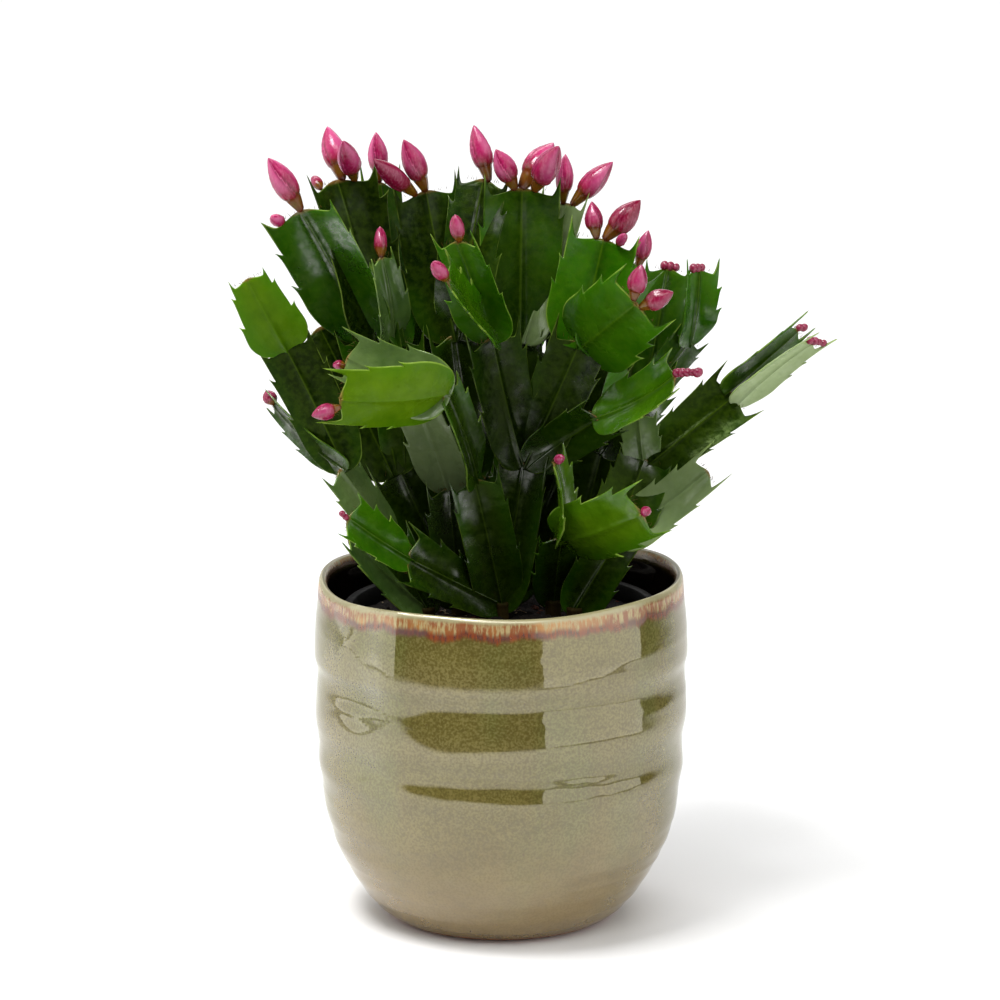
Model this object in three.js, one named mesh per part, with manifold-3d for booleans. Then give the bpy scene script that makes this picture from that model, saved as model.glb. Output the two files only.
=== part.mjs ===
// A Christmas cactus in bud, growing in a plastic nursery pot that stands inside a glazed stoneware cover pot.
// Millimetres, +Z up. The origin is the centre of the stoneware pot's flat base.

import * as THREE from 'three';
import { mergeVertices } from 'three/addons/utils/BufferGeometryUtils.js';
import Module from 'manifold-3d';

const wasm = await Module();
wasm.setup();
const { Manifold } = wasm;

// Driving dimensions of the stoneware pot
const POT_HEIGHT = 130;
const POT_SIDES = 30;
const POT_WALL = 4.6;
const POT_FLOOR = 9;
const POT_OUTSIDE = [
  [41.5, 0], [45.5, 1.6], [49.5, 5], [53.8, 10], [58, 17], [62, 24], [64.9, 31], [67.2, 39], [68.9, 48],
  [69.9, 59], [70.2, 68], [70.5, 78], [70.7, 87], [70.8, 96], [71, 102], [71, 114], [70.4, 126],
];
// Throwing rings round the pot: height of the crest, swell, half depth below and above the crest,
// and the angle at which its wave starts
const RINGS = [
  [102, 1.4, 4, 15, 3.1], [78.3, 1.5, 6.5, 13, 2.5], [60, 0.9, 5.5, 6.5, 3.8], [42, 0.6, 5, 6, 5.7],
  [30, 0.6, 4, 5, 7.6], [17, 0.5, 3.5, 4, 9.5],
];
const RING_WAVE = 1.6;
const RING_MEAN = 0.6;
// The rim over the plain height: a mean rise, and waves with their count round the mouth, height and start
const RIM_RISE = 2.3;
const RIM_WAVES = [[1, 0.8, 0], [2, 0.6, -0.4], [3, 0.3, 1.3], [4, 0.2, -1.4], [5, 0.5, 2.2]];
const MOUTH_SQUARENESS = 0.9;

// Driving dimensions of the nursery pot and the soil
const GAP = 0.3;
const NURSERY_TOP = 121;
const NURSERY_WALL = 1.2;
const NURSERY_FOOT_RADIUS = 42;
const NURSERY_MOUTH_RADIUS = 58;
const NURSERY_LIP = 2.2;
const SOIL_TOP = 115;
const SOIL_RELIEF = 1.4;

// Driving dimensions of the plant
const EDGE_THICKNESS = 0.8;
const RIB_THICKNESS_BASE = 3.8;
const RIB_THICKNESS_TIP = 2.2;
const NECK_SUNK = 2.6;
const STUB_RADIUS = 3.2;
const STUB_BURIED = 16;
const STUB_STANDS = 6;

// The viewer who draws the plant: eye distance, height of the eye's aim on the pot's axis, and downward look
const EYE_DISTANCE = 1400;
const AIM_HEIGHT = 161.5;
const LOOK_DOWN = THREE.MathUtils.degToRad(12);

const LOOK = new THREE.Vector3(0, Math.cos(LOOK_DOWN), -Math.sin(LOOK_DOWN));
const BOARD_UP = new THREE.Vector3(0, Math.sin(LOOK_DOWN), Math.cos(LOOK_DOWN));
const AIM = new THREE.Vector3(0, 0, AIM_HEIGHT);
const EYE = AIM.clone().addScaledVector(LOOK, -EYE_DISTANCE);

// A point drawn at across and height on a board that stands through the pot's axis, square to the viewer's look,
// and moved along the line of sight until it lies at depth behind the axis
function fromBoard(across, height, depth) {
  const onBoard = AIM.clone().addScaledVector(BOARD_UP, height - AIM_HEIGHT);
  onBoard.x += across;
  const sight = onBoard.clone().sub(EYE);
  return EYE.clone().addScaledVector(sight, (depth - EYE.y) / sight.y);
}

// A repeatable draw from 0 to 1
function draw(seed) {
  const wave = Math.sin(seed * 127.1 + 11.7) * 43758.5453;
  return wave - Math.floor(wave);
}

const spread = (seed, reach) => (draw(seed) * 2 - 1) * reach;

// Solids

function solidFrom(geometry) {
  const bare = geometry.clone();
  bare.deleteAttribute('normal');
  bare.deleteAttribute('uv');
  const merged = mergeVertices(bare, 1e-4);
  return solidOf(Array.from(merged.attributes.position.array), Array.from(merged.index.array));
}

function solidOf(coordinates, triangles) {
  const make = (order) => new Manifold(new wasm.Mesh({
    numProp: 3,
    vertProperties: new Float32Array(coordinates),
    triVerts: new Uint32Array(order),
  }));
  const solid = make(triangles);
  if (solid.volume() > 0) return solid;
  const turned = [];
  for (let i = 0; i < triangles.length; i += 3) turned.push(triangles[i], triangles[i + 2], triangles[i + 1]);
  return make(turned);
}

function geometryOf(solid) {
  const mesh = solid.getMesh();
  const geometry = new THREE.BufferGeometry();
  geometry.setAttribute('position', new THREE.BufferAttribute(new Float32Array(mesh.vertProperties), 3));
  geometry.setIndex(new THREE.BufferAttribute(new Uint32Array(mesh.triVerts), 1));
  geometry.computeVertexNormals();
  return geometry;
}

// The largest body of a solid that a cut has left in several
function mainBody(solid) {
  return solid.decompose().reduce((best, body) => (body.volume() > best.volume() ? body : best));
}

// A solid turned round the Z axis from a closed profile of radius and height, then shaped point by point
function turned(profile, sides, shape) {
  const geometry = new THREE.LatheGeometry(profile.map(([r, z]) => new THREE.Vector2(r, z)), sides);
  geometry.rotateX(Math.PI / 2);
  const position = geometry.attributes.position;
  for (let i = 0; shape && i < position.count; i++) {
    const x = position.getX(i);
    const y = position.getY(i);
    const radius = Math.hypot(x, y);
    const [r, z] = shape(radius, position.getZ(i), Math.atan2(y, x));
    const grow = radius > 1e-6 ? r / radius : 0;
    position.setXYZ(i, x * grow, y * grow, z);
  }
  return solidFrom(geometry);
}

// Stoneware pot

// The rim is highest on the right and lowest at the front left corner
function rimLift(angle) {
  return RIM_WAVES.reduce((sum, [count, high, start]) => sum + high * Math.cos(count * angle - start), RIM_RISE);
}

// The mouth bulges towards soft corners
function mouthReach(angle) {
  return MOUTH_SQUARENESS * (0.4 + 0.7 * Math.sin(3 * angle) - 0.5 * Math.cos(4 * angle));
}

function ringSwell(z, angle) {
  return RINGS.reduce((sum, [height, swell, below, above, start], k) => {
    const crest = height + RING_WAVE * Math.sin(angle + start);
    const half = z < crest ? below : above;
    return sum + swell * (0.85 + 0.15 * Math.sin(2 * angle + k)) * Math.exp(-(((z - crest) / half) ** 2));
  }, 0);
}

// Outside points carry the throwing rings, and towards the mouth the wall follows the uneven rim
function potShape(outside) {
  return (r, z, angle) => {
    const climb = Math.max(0, (z - 20) / (POT_HEIGHT - 20));
    const lift = rimLift(angle) * climb ** 3;
    const swell = outside && z > 1 && r > 40 ? ringSwell(z, angle) - RING_MEAN : 0;
    return [r + swell + mouthReach(angle) * climb ** 2, z + lift];
  };
}

function stonewarePot() {
  const outside = [[0, 0], ...POT_OUTSIDE, [69.6, 129], [68.2, POT_HEIGHT], [0, POT_HEIGHT]];
  const inside = [
    [0, POT_FLOOR], [44, POT_FLOOR], [51, 13.5], [57.2, 23], [63, 43], [65.6, 70],
    [66.2, 118], [66, 127], [66.6, 134], [0, 134],
  ];
  const body = turned(outside, POT_SIDES, potShape(true));
  const hollow = turned(inside, POT_SIDES, potShape(false));
  return body.subtract(hollow);
}

// Nursery pot and soil

function nurseryRadius(z) {
  const bottom = POT_FLOOR + GAP;
  return THREE.MathUtils.lerp(NURSERY_FOOT_RADIUS, NURSERY_MOUTH_RADIUS, (z - bottom) / (NURSERY_TOP - bottom));
}

function nurseryPot() {
  const bottom = POT_FLOOR + GAP;
  const lipBottom = NURSERY_TOP - 4;
  const profile = [
    [0, bottom], [NURSERY_FOOT_RADIUS, bottom], [nurseryRadius(lipBottom), lipBottom],
    [nurseryRadius(lipBottom) + NURSERY_LIP, lipBottom], [nurseryRadius(NURSERY_TOP) + NURSERY_LIP, NURSERY_TOP],
    [nurseryRadius(NURSERY_TOP) - NURSERY_WALL, NURSERY_TOP],
    [nurseryRadius(bottom) - NURSERY_WALL, bottom + NURSERY_WALL], [0, bottom + NURSERY_WALL],
  ];
  let pot = turned(profile, 24);
  const drain = new THREE.CylinderGeometry(3.5, 3.5, 12, 6).rotateX(Math.PI / 2);
  for (let k = 0; k < 6; k++) {
    const turn = k * Math.PI / 3;
    const hole = drain.clone().rotateZ(turn).translate(30 * Math.cos(turn), 30 * Math.sin(turn), bottom);
    pot = pot.subtract(solidFrom(hole));
  }
  return pot;
}

function soilRelief(r, angle) {
  const fall = r / NURSERY_MOUTH_RADIUS;
  const waves = 0.5 * Math.sin(3 * angle + r * 0.16) + 0.35 * Math.sin(5 * angle - r * 0.23);
  return SOIL_RELIEF * (1 - fall * fall + waves);
}

function soilBall(stubs) {
  const bottom = POT_FLOOR + GAP + NURSERY_WALL + GAP;
  const clear = NURSERY_WALL + 3 * GAP;
  const profile = [[0, bottom], [nurseryRadius(bottom) - clear, bottom]];
  for (const r of [nurseryRadius(SOIL_TOP) - clear, 42, 27, 12, 0]) profile.push([r, SOIL_TOP]);
  const top = (r, z, angle) => [r, z === SOIL_TOP || z > SOIL_TOP - 1 ? z + soilRelief(r, angle) : z];
  let soil = turned(profile, 24, top);
  for (const [x, y] of stubs) soil = soil.subtract(stubPrism(x, y, STUB_RADIUS + 2 * GAP, 2 * GAP, 30));
  return soil;
}

// A plain round prism at a cutting's foot: the buried woody stem, or with room round it the hole it stands in
function stubPrism(x, y, radius, deeper, stands) {
  const low = SOIL_TOP - STUB_BURIED - deeper;
  const high = SOIL_TOP + stands;
  const prism = new THREE.CylinderGeometry(radius, radius, high - low, 8).rotateX(Math.PI / 2);
  return solidFrom(prism.translate(x, y, (low + high) / 2));
}

// Stem segments

// One margin of a segment from neck to tip: share of length, share of half width, and the share along the midrib
// that the point is joined to. Each margin has two forward teeth and ends in a horn beside the blunt tip, and the
// points of these are joined to their neighbours only.
const MARGIN = [
  [0, 0.16, 0], [0.09, 0.74, 0.1], [0.27, 0.98, 0.28], [0.54, 1.06, null], [0.495, 0.94, 0.5],
  [0.81, 1.02, null], [0.77, 0.9, 0.75], [0.96, 0.94, null], [0.935, 0.78, 0.94],
];
const RIB_STATIONS = [0, 0.33, 0.68, 0.97];
const TOOTH_ROWS = [3, 5];
const NOTCH_ROWS = [4, 6];
const HORN_ROW = 7;
const HORN_REACH = 0.15;
const TIP_EDGE = 0.01;
const TIP_FALL = 0.027;
const TOOTH_REACH = 0.05;
const NOTCH_DEPTH = 0.07;

// The points of one margin. Draws of its own slide its teeth, jag makes them deeper, horn lengthens the horn, and
// taper narrows the tip and broadens the foot.
function marginRows(segment, side) {
  const { seed, taper, horn } = segment;
  const slides = [spread(seed + side * 3.1, 0.05), spread(seed + side * 5.3, 0.05)];
  const jag = draw(seed + 0.77);
  return MARGIN.map(([s, w, rib], k) => {
    const tooth = TOOTH_ROWS.indexOf(k);
    const notch = NOTCH_ROWS.indexOf(k);
    const slid = k === HORN_ROW
      ? HORN_REACH * horn + spread(seed + side * 7.7, 0.03)
      : slides[Math.max(tooth, notch)] ?? 0;
    const pushed = jag * (TOOTH_REACH * (tooth >= 0) - NOTCH_DEPTH * (notch >= 0));
    return [s + slid, (w + pushed) * (1 + taper * (0.5 - s)), rib];
  });
}

// The right-handed frame of a segment: along it, square to its face, and across it
function segmentFrame(base, tip, reference, turn) {
  const along = tip.clone().sub(base);
  const length = along.length();
  along.normalize();
  const facing = reference.clone().addScaledVector(along, -reference.dot(along)).normalize();
  facing.applyAxisAngle(along, THREE.MathUtils.degToRad(turn));
  const across = new THREE.Vector3().crossVectors(along, facing);
  return { base, length, along, facing, across };
}

// A point of the segment's middle surface: arched along its length, cupped across its width and slightly twisted
function onSegment(segment, s, w) {
  const { frame, width, arch, cup, twist } = segment;
  const lift = arch * 4 * s * (1 - s) + cup * w * w * Math.min(1, 3 * s) + twist * (s - 0.5) * w;
  return frame.base.clone()
    .addScaledVector(frame.along, s * frame.length)
    .addScaledVector(frame.across, w * width / 2)
    .addScaledVector(frame.facing, lift);
}

// The triangles between the midrib and one margin, which join the nearer next point each time, and those of its
// teeth and horn
function zip(ribs, ribAt, margin, marginAt) {
  const triangles = [];
  const joined = margin.filter((point, k) => marginAt[k] !== null);
  const joinedAt = marginAt.filter((at) => at !== null);
  let i = 0;
  let j = 0;
  while (i < ribs.length - 1 || j < joined.length - 1) {
    const ribNext = i < ribs.length - 1 && (j === joined.length - 1 || ribAt[i + 1] <= joinedAt[j + 1]);
    triangles.push(ribNext ? [ribs[i], ribs[i + 1], joined[j]] : [ribs[i], joined[j + 1], joined[j]]);
    if (ribNext) i += 1;
    else j += 1;
  }
  margin.forEach((point, k) => {
    if (marginAt[k] === null) triangles.push([margin[k - 1], margin[k + 1], point]);
  });
  return triangles;
}

function segmentSolid(segment) {
  const points = [];
  const halves = [];
  const put = (s, w, thickness) => {
    points.push(onSegment(segment, s, w));
    halves.push(thickness / 2);
    return points.length - 1;
  };
  const ribs = RIB_STATIONS.map((s) => put(s, 0, THREE.MathUtils.lerp(RIB_THICKNESS_BASE, RIB_THICKNESS_TIP, s)));
  const faces = [];
  for (const side of [1, -1]) {
    const rows = marginRows(segment, side);
    const margin = rows.map(([s, w], k) => put(s, side * w, k === 0 ? RIB_THICKNESS_BASE * 0.7 : EDGE_THICKNESS));
    const half = zip(ribs, RIB_STATIONS, margin, rows.map((row) => row[2]));
    faces.push(...half.map((corner) => (side < 0 ? corner.reverse() : corner)));
  }
  const count = points.length;
  const moved = (p, reach) => p.clone().addScaledVector(segment.frame.facing, reach).toArray();
  const shift = (sign) => points.flatMap((p, k) => moved(p, sign * halves[k]));
  const triangles = faces.flat();
  for (const [a, b, c] of faces) triangles.push(a + count, c + count, b + count);
  const used = new Set(faces.flatMap(([a, b, c]) => [`${a},${b}`, `${b},${c}`, `${c},${a}`]));
  for (const edge of used) {
    const [a, b] = edge.split(',').map(Number);
    if (!used.has(`${b},${a}`)) triangles.push(b, a, a + count, b, a + count, b + count);
  }
  return solidOf([...shift(1), ...shift(-1)], triangles);
}

// The plant, one cutting after another. Each row: name, what it grows from, place along that tip's edge from
// -1 to 1, then where its own tip is on the viewer's board (across, height, depth), its width, and how far its
// face is turned from the viewer, in degrees.
const CUTTINGS = {
  cutting_centre: {
    root: [0, -3],
    rows: [
      ['low_left', 'root', 0, -37, 140, -30, 20, 24],
      ['low_left_young', 'low_left', 0, -59, 155, -46, 17, 28],
      ['mid_left', 'root', 0, -11, 171, -15, 21, 12],
      ['fan_left', 'mid_left', 0, -22, 204, -34, 19, 58],
      ['bright_left', 'fan_left', 0.1, -63, 200, -56, 26, -30],
      ['pale_left', 'fan_left', -0.3, -60, 216, -28, 25, 18],
      ['mid', 'root', 0, 9, 178, -4, 20, -10],
      ['tall_mid', 'mid', -0.2, -4, 225, -15, 23, 22],
      ['young_mid', 'tall_mid', 0, -17, 261, -35, 21, -25],
      ['reaching_mid', 'tall_mid', 0.3, -21, 246, -58, 19, 62],
      ['tall_right', 'mid', 0.2, 31, 223, -11, 24, -14],
      ['crown_right', 'tall_right', -0.1, 39.5, 262, -4, 30, -12],
      ['broad_right', 'tall_right', 0.2, 52.5, 237, -44, 33, 4],
      ['behind_right', 'tall_right', 0.4, 53, 251, 10, 20, 34],
      ['low_branch', 'mid', 0.5, 38, 193, -17, 20, 22],
      ['beaded_right', 'low_branch', 0, 67, 209, -29, 21, -40],
    ],
  },
  cutting_left: {
    root: [-16, 6],
    rows: [
      ['wide_low', 'root', 0, -40, 176, -1, 24, 14],
      ['shoulder', 'wide_low', -0.1, -51, 226, 3, 25, -8],
      ['glossy_outer', 'shoulder', -0.1, -77, 273, -16, 31, -24],
      ['grooved', 'shoulder', 0.2, -63.5, 285, 8, 30, 36],
      ['dark_outer', 'wide_low', -0.5, -70, 229, 10, 25, 10],
      ['inner', 'wide_low', 0.4, -39, 224, 5, 20, 6],
      ['slim_edge', 'inner', -0.5, -46, 255, -11, 15, 42],
      ['tall_behind', 'inner', 0.2, -46.5, 284.5, 24, 22, 48],
      ['slim_low', 'root', 0, -20, 168, -6, 19, 0],
      ['sheen', 'slim_low', 0, -32, 199, -20, 22, -32],
    ],
  },
  cutting_left_low: {
    root: [-28, -12],
    rows: [
      ['pale_low', 'root', 0, -59, 149, -29, 18, 58],
      ['stub_left', 'root', 0, -43, 147, -13, 18, 10],
      ['grey_left', 'stub_left', 0, -62, 174, -23, 20, 42],
      ['long_left', 'grey_left', 0.5, -83, 222, -22, 23, -14],
      ['round_left', 'long_left', -0.05, -97, 246.5, -31, 21, -6],
      ['toothed_left', 'grey_left', 0.4, -87, 199, -2, 12, -50],
    ],
  },
  cutting_crown: {
    root: [2, 16],
    rows: [
      ['crown_low_left', 'root', 0, -11, 172, 14, 20, 16],
      ['crown_mid_left', 'crown_low_left', 0, -18.5, 226, 7.5, 21, 14],
      ['big_dark', 'crown_mid_left', 0.05, -29, 281, 14, 28, 6],
      ['dark_behind', 'crown_mid_left', 0.4, -6, 285.5, 18, 23, -12],
      ['core_left', 'crown_low_left', -0.4, -26, 236, 28, 27, 8],
      ['crown_low', 'root', 0, 10, 176, 12, 20, -10],
      ['crown_mid', 'crown_low', 0, 7, 225, 9, 20, -8],
      ['big_centre', 'crown_mid', 0, 8, 282, 12, 33, 4],
      ['silver_behind', 'crown_mid', 0.5, 26, 276, 25, 22, -30],
      ['core_low', 'root', 0, 22, 173, 17, 24, -14],
      ['core_right', 'core_low', 0, 30, 227, 18, 26, -6],
    ],
  },
  cutting_right: {
    root: [20, 0],
    rows: [
      ['right_low', 'root', 0, 23, 148, -20, 18, 12],
      ['right_bright', 'right_low', 0.2, 55, 157, -50, 27, 26],
      ['right_edge', 'right_low', -0.2, 20, 177, -33, 17, 72],
      ['right_rise', 'root', 0, 32, 154, 4, 18, 0],
      ['right_mid', 'right_rise', 0, 39, 182, 3, 22, -6],
      ['right_upper', 'right_mid', 0, 58, 206, 12, 22, -10],
      ['right_small', 'right_upper', 0.2, 72, 223, 13, 18, 42],
      ['right_tall', 'right_small', 0, 75, 250, 10, 17, 40],
      ['right_behind', 'right_upper', -0.3, 64, 251, 26, 20, -10],
    ],
  },
  cutting_right_front: {
    root: [28, -12],
    rows: [
      ['front_low', 'root', 0, 46, 149, -16, 19, -6],
      ['silver_low', 'front_low', 0.1, 80, 173, -19, 19, -22],
      ['front_mid', 'front_low', -0.3, 55, 178, -6, 24, 2],
      ['far_right', 'front_mid', 0.4, 90, 202, -2, 21, -8],
      ['far_upper', 'far_right', -0.6, 113.5, 227, 4, 15, 50],
      ['far_pale', 'far_right', 0.4, 119, 222, -16, 13, 48],
      ['pale_scrap', 'front_mid', -0.1, 52, 194, -10, 15, 4],
    ],
  },
};

// Segments whose bend shows: how far they arch along their length and cup across it, towards their face
const BENDS = {
  glossy_outer: [-3, 5], grooved: [2, 6], bright_left: [3.5, -2.5], pale_left: [-4, 4], broad_right: [2, -2],
  beaded_right: [-3, 4], right_bright: [3, -2], crown_right: [-2, 3], big_centre: [-1.5, 2.5], big_dark: [-2, 1],
  young_mid: [-2, 4], round_left: [1.5, -1.5], silver_low: [-2, 3], tall_mid: [-2, 3], wide_low: [-2, 3],
};

// Segments whose outline shows: how much they taper to their tip, and how long their horns are, 1 being usual
const SHAPES = {
  round_left: [0.6, 0.3], glossy_outer: [0.05, 0.4], big_dark: [0.1, 0.7], big_centre: [0.12, 0.5],
  crown_right: [0.1, 0.9], broad_right: [0.2, 1], bright_left: [0.25, 1], pale_left: [0.3, 0.8],
  right_tall: [0.2, 1.3], right_behind: [0.1, 0.6], dark_behind: [0.1, 0.6], far_upper: [0.3, 1.3],
  far_pale: [0.2, 1.3], slim_edge: [0.7, 0.4],
  young_mid: [0.3, 1], right_bright: [0.2, 0.9], silver_low: [0.15, 1.3], far_right: [-0.3, 1],
  grooved: [-0.1, 0.4], dark_outer: [0.1, 1], low_left: [-0.5, 0.8],
};

// The growth behind, which the viewer doesn't see: its foot and the bearings of its branches from +X
const BACK_CUTTING = { root: [2, 32], bearings: [150, 92, 34] };
const BACK_LENGTHS = [46, 44, 40];
const BACK_RISE = [60, 64, 50];
const BACK_FORK = 24;
const BACK_FORK_CHANCE = 0.15;

function segmentAt(name, base, tip, width, reference, turn, seed) {
  const frame = segmentFrame(base, tip, reference, turn);
  frame.base.addScaledVector(frame.along, -NECK_SUNK);
  frame.length += NECK_SUNK;
  return {
    name, frame, width, seed,
    arch: BENDS[name] ? BENDS[name][0] : spread(seed + 0.3, 0.06) * frame.length,
    cup: BENDS[name] ? BENDS[name][1] : 2 + spread(seed + 0.6, 2.6),
    twist: spread(seed + 0.9, 3),
    taper: SHAPES[name] ? SHAPES[name][0] : spread(seed + 0.45, 0.16),
    horn: SHAPES[name] ? SHAPES[name][1] : 0.35 + 0.8 * draw(seed + 0.35),
  };
}

const rootTop = ([x, y]) => new THREE.Vector3(x, y, SOIL_TOP + STUB_STANDS);

// A point on a segment's blunt tip, at a place along its edge from -1 to 1, and one clear of it
const tipPoint = (segment, place) => onSegment(segment, 0.96, place * 0.6);

function budSeat(segment, place, reach) {
  const toEdge = (TIP_EDGE - TIP_FALL * Math.abs(place)) * segment.frame.length;
  return tipPoint(segment, place).addScaledVector(segment.frame.along, toEdge + GAP + reach);
}

function drawnCutting({ root, rows }, order) {
  const segments = {};
  rows.forEach(([name, from, place, across, height, depth, width, turn], k) => {
    const base = from === 'root' ? rootTop(root) : tipPoint(segments[from], place);
    const tip = fromBoard(across, height, depth);
    segments[name] = segmentAt(name, base, tip, width, LOOK.clone().negate(), turn, order * 100 + k);
  });
  return Object.values(segments);
}

// One branch for each bearing rises from the foot, forks and leans further out at each joint
function ruledCutting({ root, bearings }, order) {
  const segments = [];
  const grow = (base, level, bearing, seed) => {
    const rise = THREE.MathUtils.degToRad(BACK_RISE[level] + spread(seed + 0.1, 6));
    const heading = THREE.MathUtils.degToRad(bearing);
    const outward = new THREE.Vector3(Math.cos(heading), Math.sin(heading), 0);
    const way = outward.clone().multiplyScalar(Math.cos(rise));
    way.z = Math.sin(rise);
    const tip = base.clone().addScaledVector(way, BACK_LENGTHS[level] * (1 + spread(seed + 0.2, 0.08)));
    const width = 25 + spread(seed + 0.4, 3);
    const segment = segmentAt(`back_${seed}`, base, tip, width, outward, spread(seed + 0.5, 26), seed);
    segments.push(segment);
    if (level === BACK_LENGTHS.length - 1) return;
    const forks = level === 0 || draw(seed + 0.7) < BACK_FORK_CHANCE ? [-1, 1] : [spread(seed + 0.8, 0.4)];
    forks.forEach((fork, k) => {
      grow(tipPoint(segment, fork * 0.5), level + 1, bearing - fork * BACK_FORK, seed * 3 + k);
    });
  };
  bearings.forEach((bearing, k) => grow(rootTop(root), 0, bearing, order * 100 + k * 7));
  return segments;
}

function cuttingSolid(root, segments) {
  const stub = stubPrism(root[0], root[1], STUB_RADIUS, 0, STUB_STANDS + 1.5);
  return mainBody(segments.reduce((solid, segment) => solid.add(segmentSolid(segment)), stub));
}

// Flower buds

// The outline of a bud: share of length and share of radius, the narrow ovary first, then the closed petals
const BUD_OUTLINE = [[0.02, 0.2], [0.24, 0.5], [0.34, 0.86], [0.6, 0.97], [0.88, 0.44]];
const SMALL_BUD_OUTLINE = [[0.02, 0.3], [0.3, 0.9], [0.66, 0.95], [0.9, 0.5]];
const BUD_FULLNESS = 0.86;
const PETAL_RELIEF = 0.07;
const PETAL_TURN = 2.4;
const BUD_SIDES = 7;
const SMALL_BUD_SIDES = 6;
const SMALL_BUD_GIRTH = 7;

// A closed bud from its foot to its point. Three overlapping petals wind round it as three low lobes.
function budSolid(foot, point, girth) {
  const large = girth >= SMALL_BUD_GIRTH * BUD_FULLNESS;
  const outline = large ? BUD_OUTLINE : SMALL_BUD_OUTLINE;
  const sides = large ? BUD_SIDES : SMALL_BUD_SIDES;
  const along = point.clone().sub(foot);
  const turnTo = new THREE.Quaternion().setFromUnitVectors(new THREE.Vector3(0, 0, 1), along.clone().normalize());
  const coordinates = [...foot.toArray(), ...point.toArray()];
  for (const [t, share] of outline) {
    for (let k = 0; k < sides; k++) {
      const angle = (k / sides) * 2 * Math.PI;
      const relief = large && t > 0.26 ? 1 + PETAL_RELIEF * Math.cos(3 * angle - PETAL_TURN * 2 * t) : 1;
      const r = (girth / 2) * share * relief;
      const ring = new THREE.Vector3(r * Math.cos(angle), r * Math.sin(angle), t * along.length());
      coordinates.push(...ring.applyQuaternion(turnTo).add(foot).toArray());
    }
  }
  const triangles = [];
  const at = (ring, k) => 2 + ring * sides + (k % sides);
  for (let k = 0; k < sides; k++) {
    triangles.push(0, at(0, k + 1), at(0, k), 1, at(outline.length - 1, k), at(outline.length - 1, k + 1));
    for (let ring = 0; ring < outline.length - 1; ring++) {
      triangles.push(at(ring, k), at(ring, k + 1), at(ring + 1, k + 1));
      triangles.push(at(ring, k), at(ring + 1, k + 1), at(ring + 1, k));
    }
  }
  return solidOf(coordinates, triangles);
}

// Single buds: the segment and the place along its tip's edge, then where the bud's point is on the viewer's
// board (across, height, depth), and its girth
const BUDS = [
  ['glossy_outer', 0, -88.5, 291.5, -20, 11],
  ['glossy_outer', -0.8, -87.5, 268.5, -21, 5.6],
  ['grooved', 0.3, -66, 303.5, 18, 11],
  ['grooved', 0.8, -60, 298, -5, 10],
  ['grooved', -0.9, -71.5, 284.5, 8, 5],
  ['tall_behind', 0, -47.5, 301.3, 22, 9],
  ['big_dark', -0.45, -48.5, 291, -4, 9],
  ['big_dark', 0, -37, 298.5, 8, 10.5],
  ['slim_edge', 0, -46, 265.5, -5, 6],
  ['young_mid', 0.1, -17.5, 270, -38, 6.5],
  ['reaching_mid', 0, -26, 252, -63, 6.6],
  ['dark_behind', 0.3, -10.3, 304, 19, 9.6],
  ['big_centre', -0.25, -2, 294.8, 8, 10],
  ['big_centre', -0.05, 20, 297.3, 23, 12],
  ['big_centre', 0.45, 22, 296, -3, 11.5],
  ['silver_behind', -0.3, 24.5, 293, 24, 8],
  ['silver_behind', 0.3, 42.5, 290, 22, 10],
  ['crown_right', -0.3, 34.5, 275, 0, 8],
  ['crown_right', 0, 53, 275.5, -3, 11],
  ['crown_right', 0.6, 47.5, 262.5, -13, 4.6],
  ['behind_right', 0, 56, 264, 8, 7.4],
  ['broad_right', -0.15, 53.5, 251, -45, 8.6],
  ['broad_right', 0.2, 65.5, 240.5, -47, 8.6],
  ['bright_left', -0.4, -72, 193.5, -60, 7],
  ['pale_left', -0.4, -64, 213, -28, 4.6],
  ['toothed_left', 0, -89.5, 203, -2, 6.6],
  ['right_edge', 0.2, 23.5, 178, -37, 4.4],
  ['right_bright', 0, 56.5, 158, -53.5, 4.4],
];

// Rows of beads, the youngest buds, at a tip: the segment, the first bead's place, how many, bead girth, and the
// row's heading in degrees from the tip's edge, 90 being straight out
const BEADS = [
  ['beaded_right', -0.2, 5, 3.2, 62],
  ['right_behind', -0.3, 3, 3, 0],
  ['right_tall', -0.5, 3, 2.8, 0],
  ['far_upper', 0, 2, 2.8, 40],
  ['far_pale', -0.4, 4, 2.7, 15],
  ['low_left_young', 0, 2, 2.6, 80],
];
const BEAD_SPACING = 0.75;

function beadRow(segment, place, count, girth, heading) {
  const { along, across } = segment.frame;
  const turn = THREE.MathUtils.degToRad(heading);
  const step = across.clone().multiplyScalar(Math.cos(turn)).addScaledVector(along, Math.sin(turn));
  const first = budSeat(segment, place, girth * 0.44);
  let row = null;
  for (let k = 0; k < count; k++) {
    const seat = first.clone().addScaledVector(step, k * girth * BEAD_SPACING);
    const bead = solidFrom(new THREE.IcosahedronGeometry(girth / 2, 0).translate(seat.x, seat.y, seat.z));
    row = row ? row.add(bead) : bead;
  }
  return row;
}

// Where a bud would run into its cutting it is cut back, a hair's gap clear of it
function seated(bud, cutting, segment) {
  if (bud.intersect(cutting).volume() === 0) return bud;
  const { along, facing, across } = segment.frame;
  let cut = bud;
  const steps = [[along, 0], [along, GAP], [facing, GAP], [facing, -GAP], [across, GAP], [across, -GAP]];
  for (const [way, reach] of steps) {
    cut = cut.subtract(cutting.translate(way.clone().multiplyScalar(reach).toArray()));
  }
  return mainBody(cut);
}

// Materials

const finish = (color, roughness) => new THREE.MeshStandardMaterial({ color, roughness, metalness: 0 });
const GLAZE = finish(0xb0a888, 0.18);
const PLASTIC = finish(0x2a201c, 0.45);
const PEAT = finish(0x1e1611, 0.95);
const GREEN = finish(0x2f6a18, 0.35);
const PINK = finish(0xc8487c, 0.4);

// The whole object

const plant = new THREE.Group();

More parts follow.
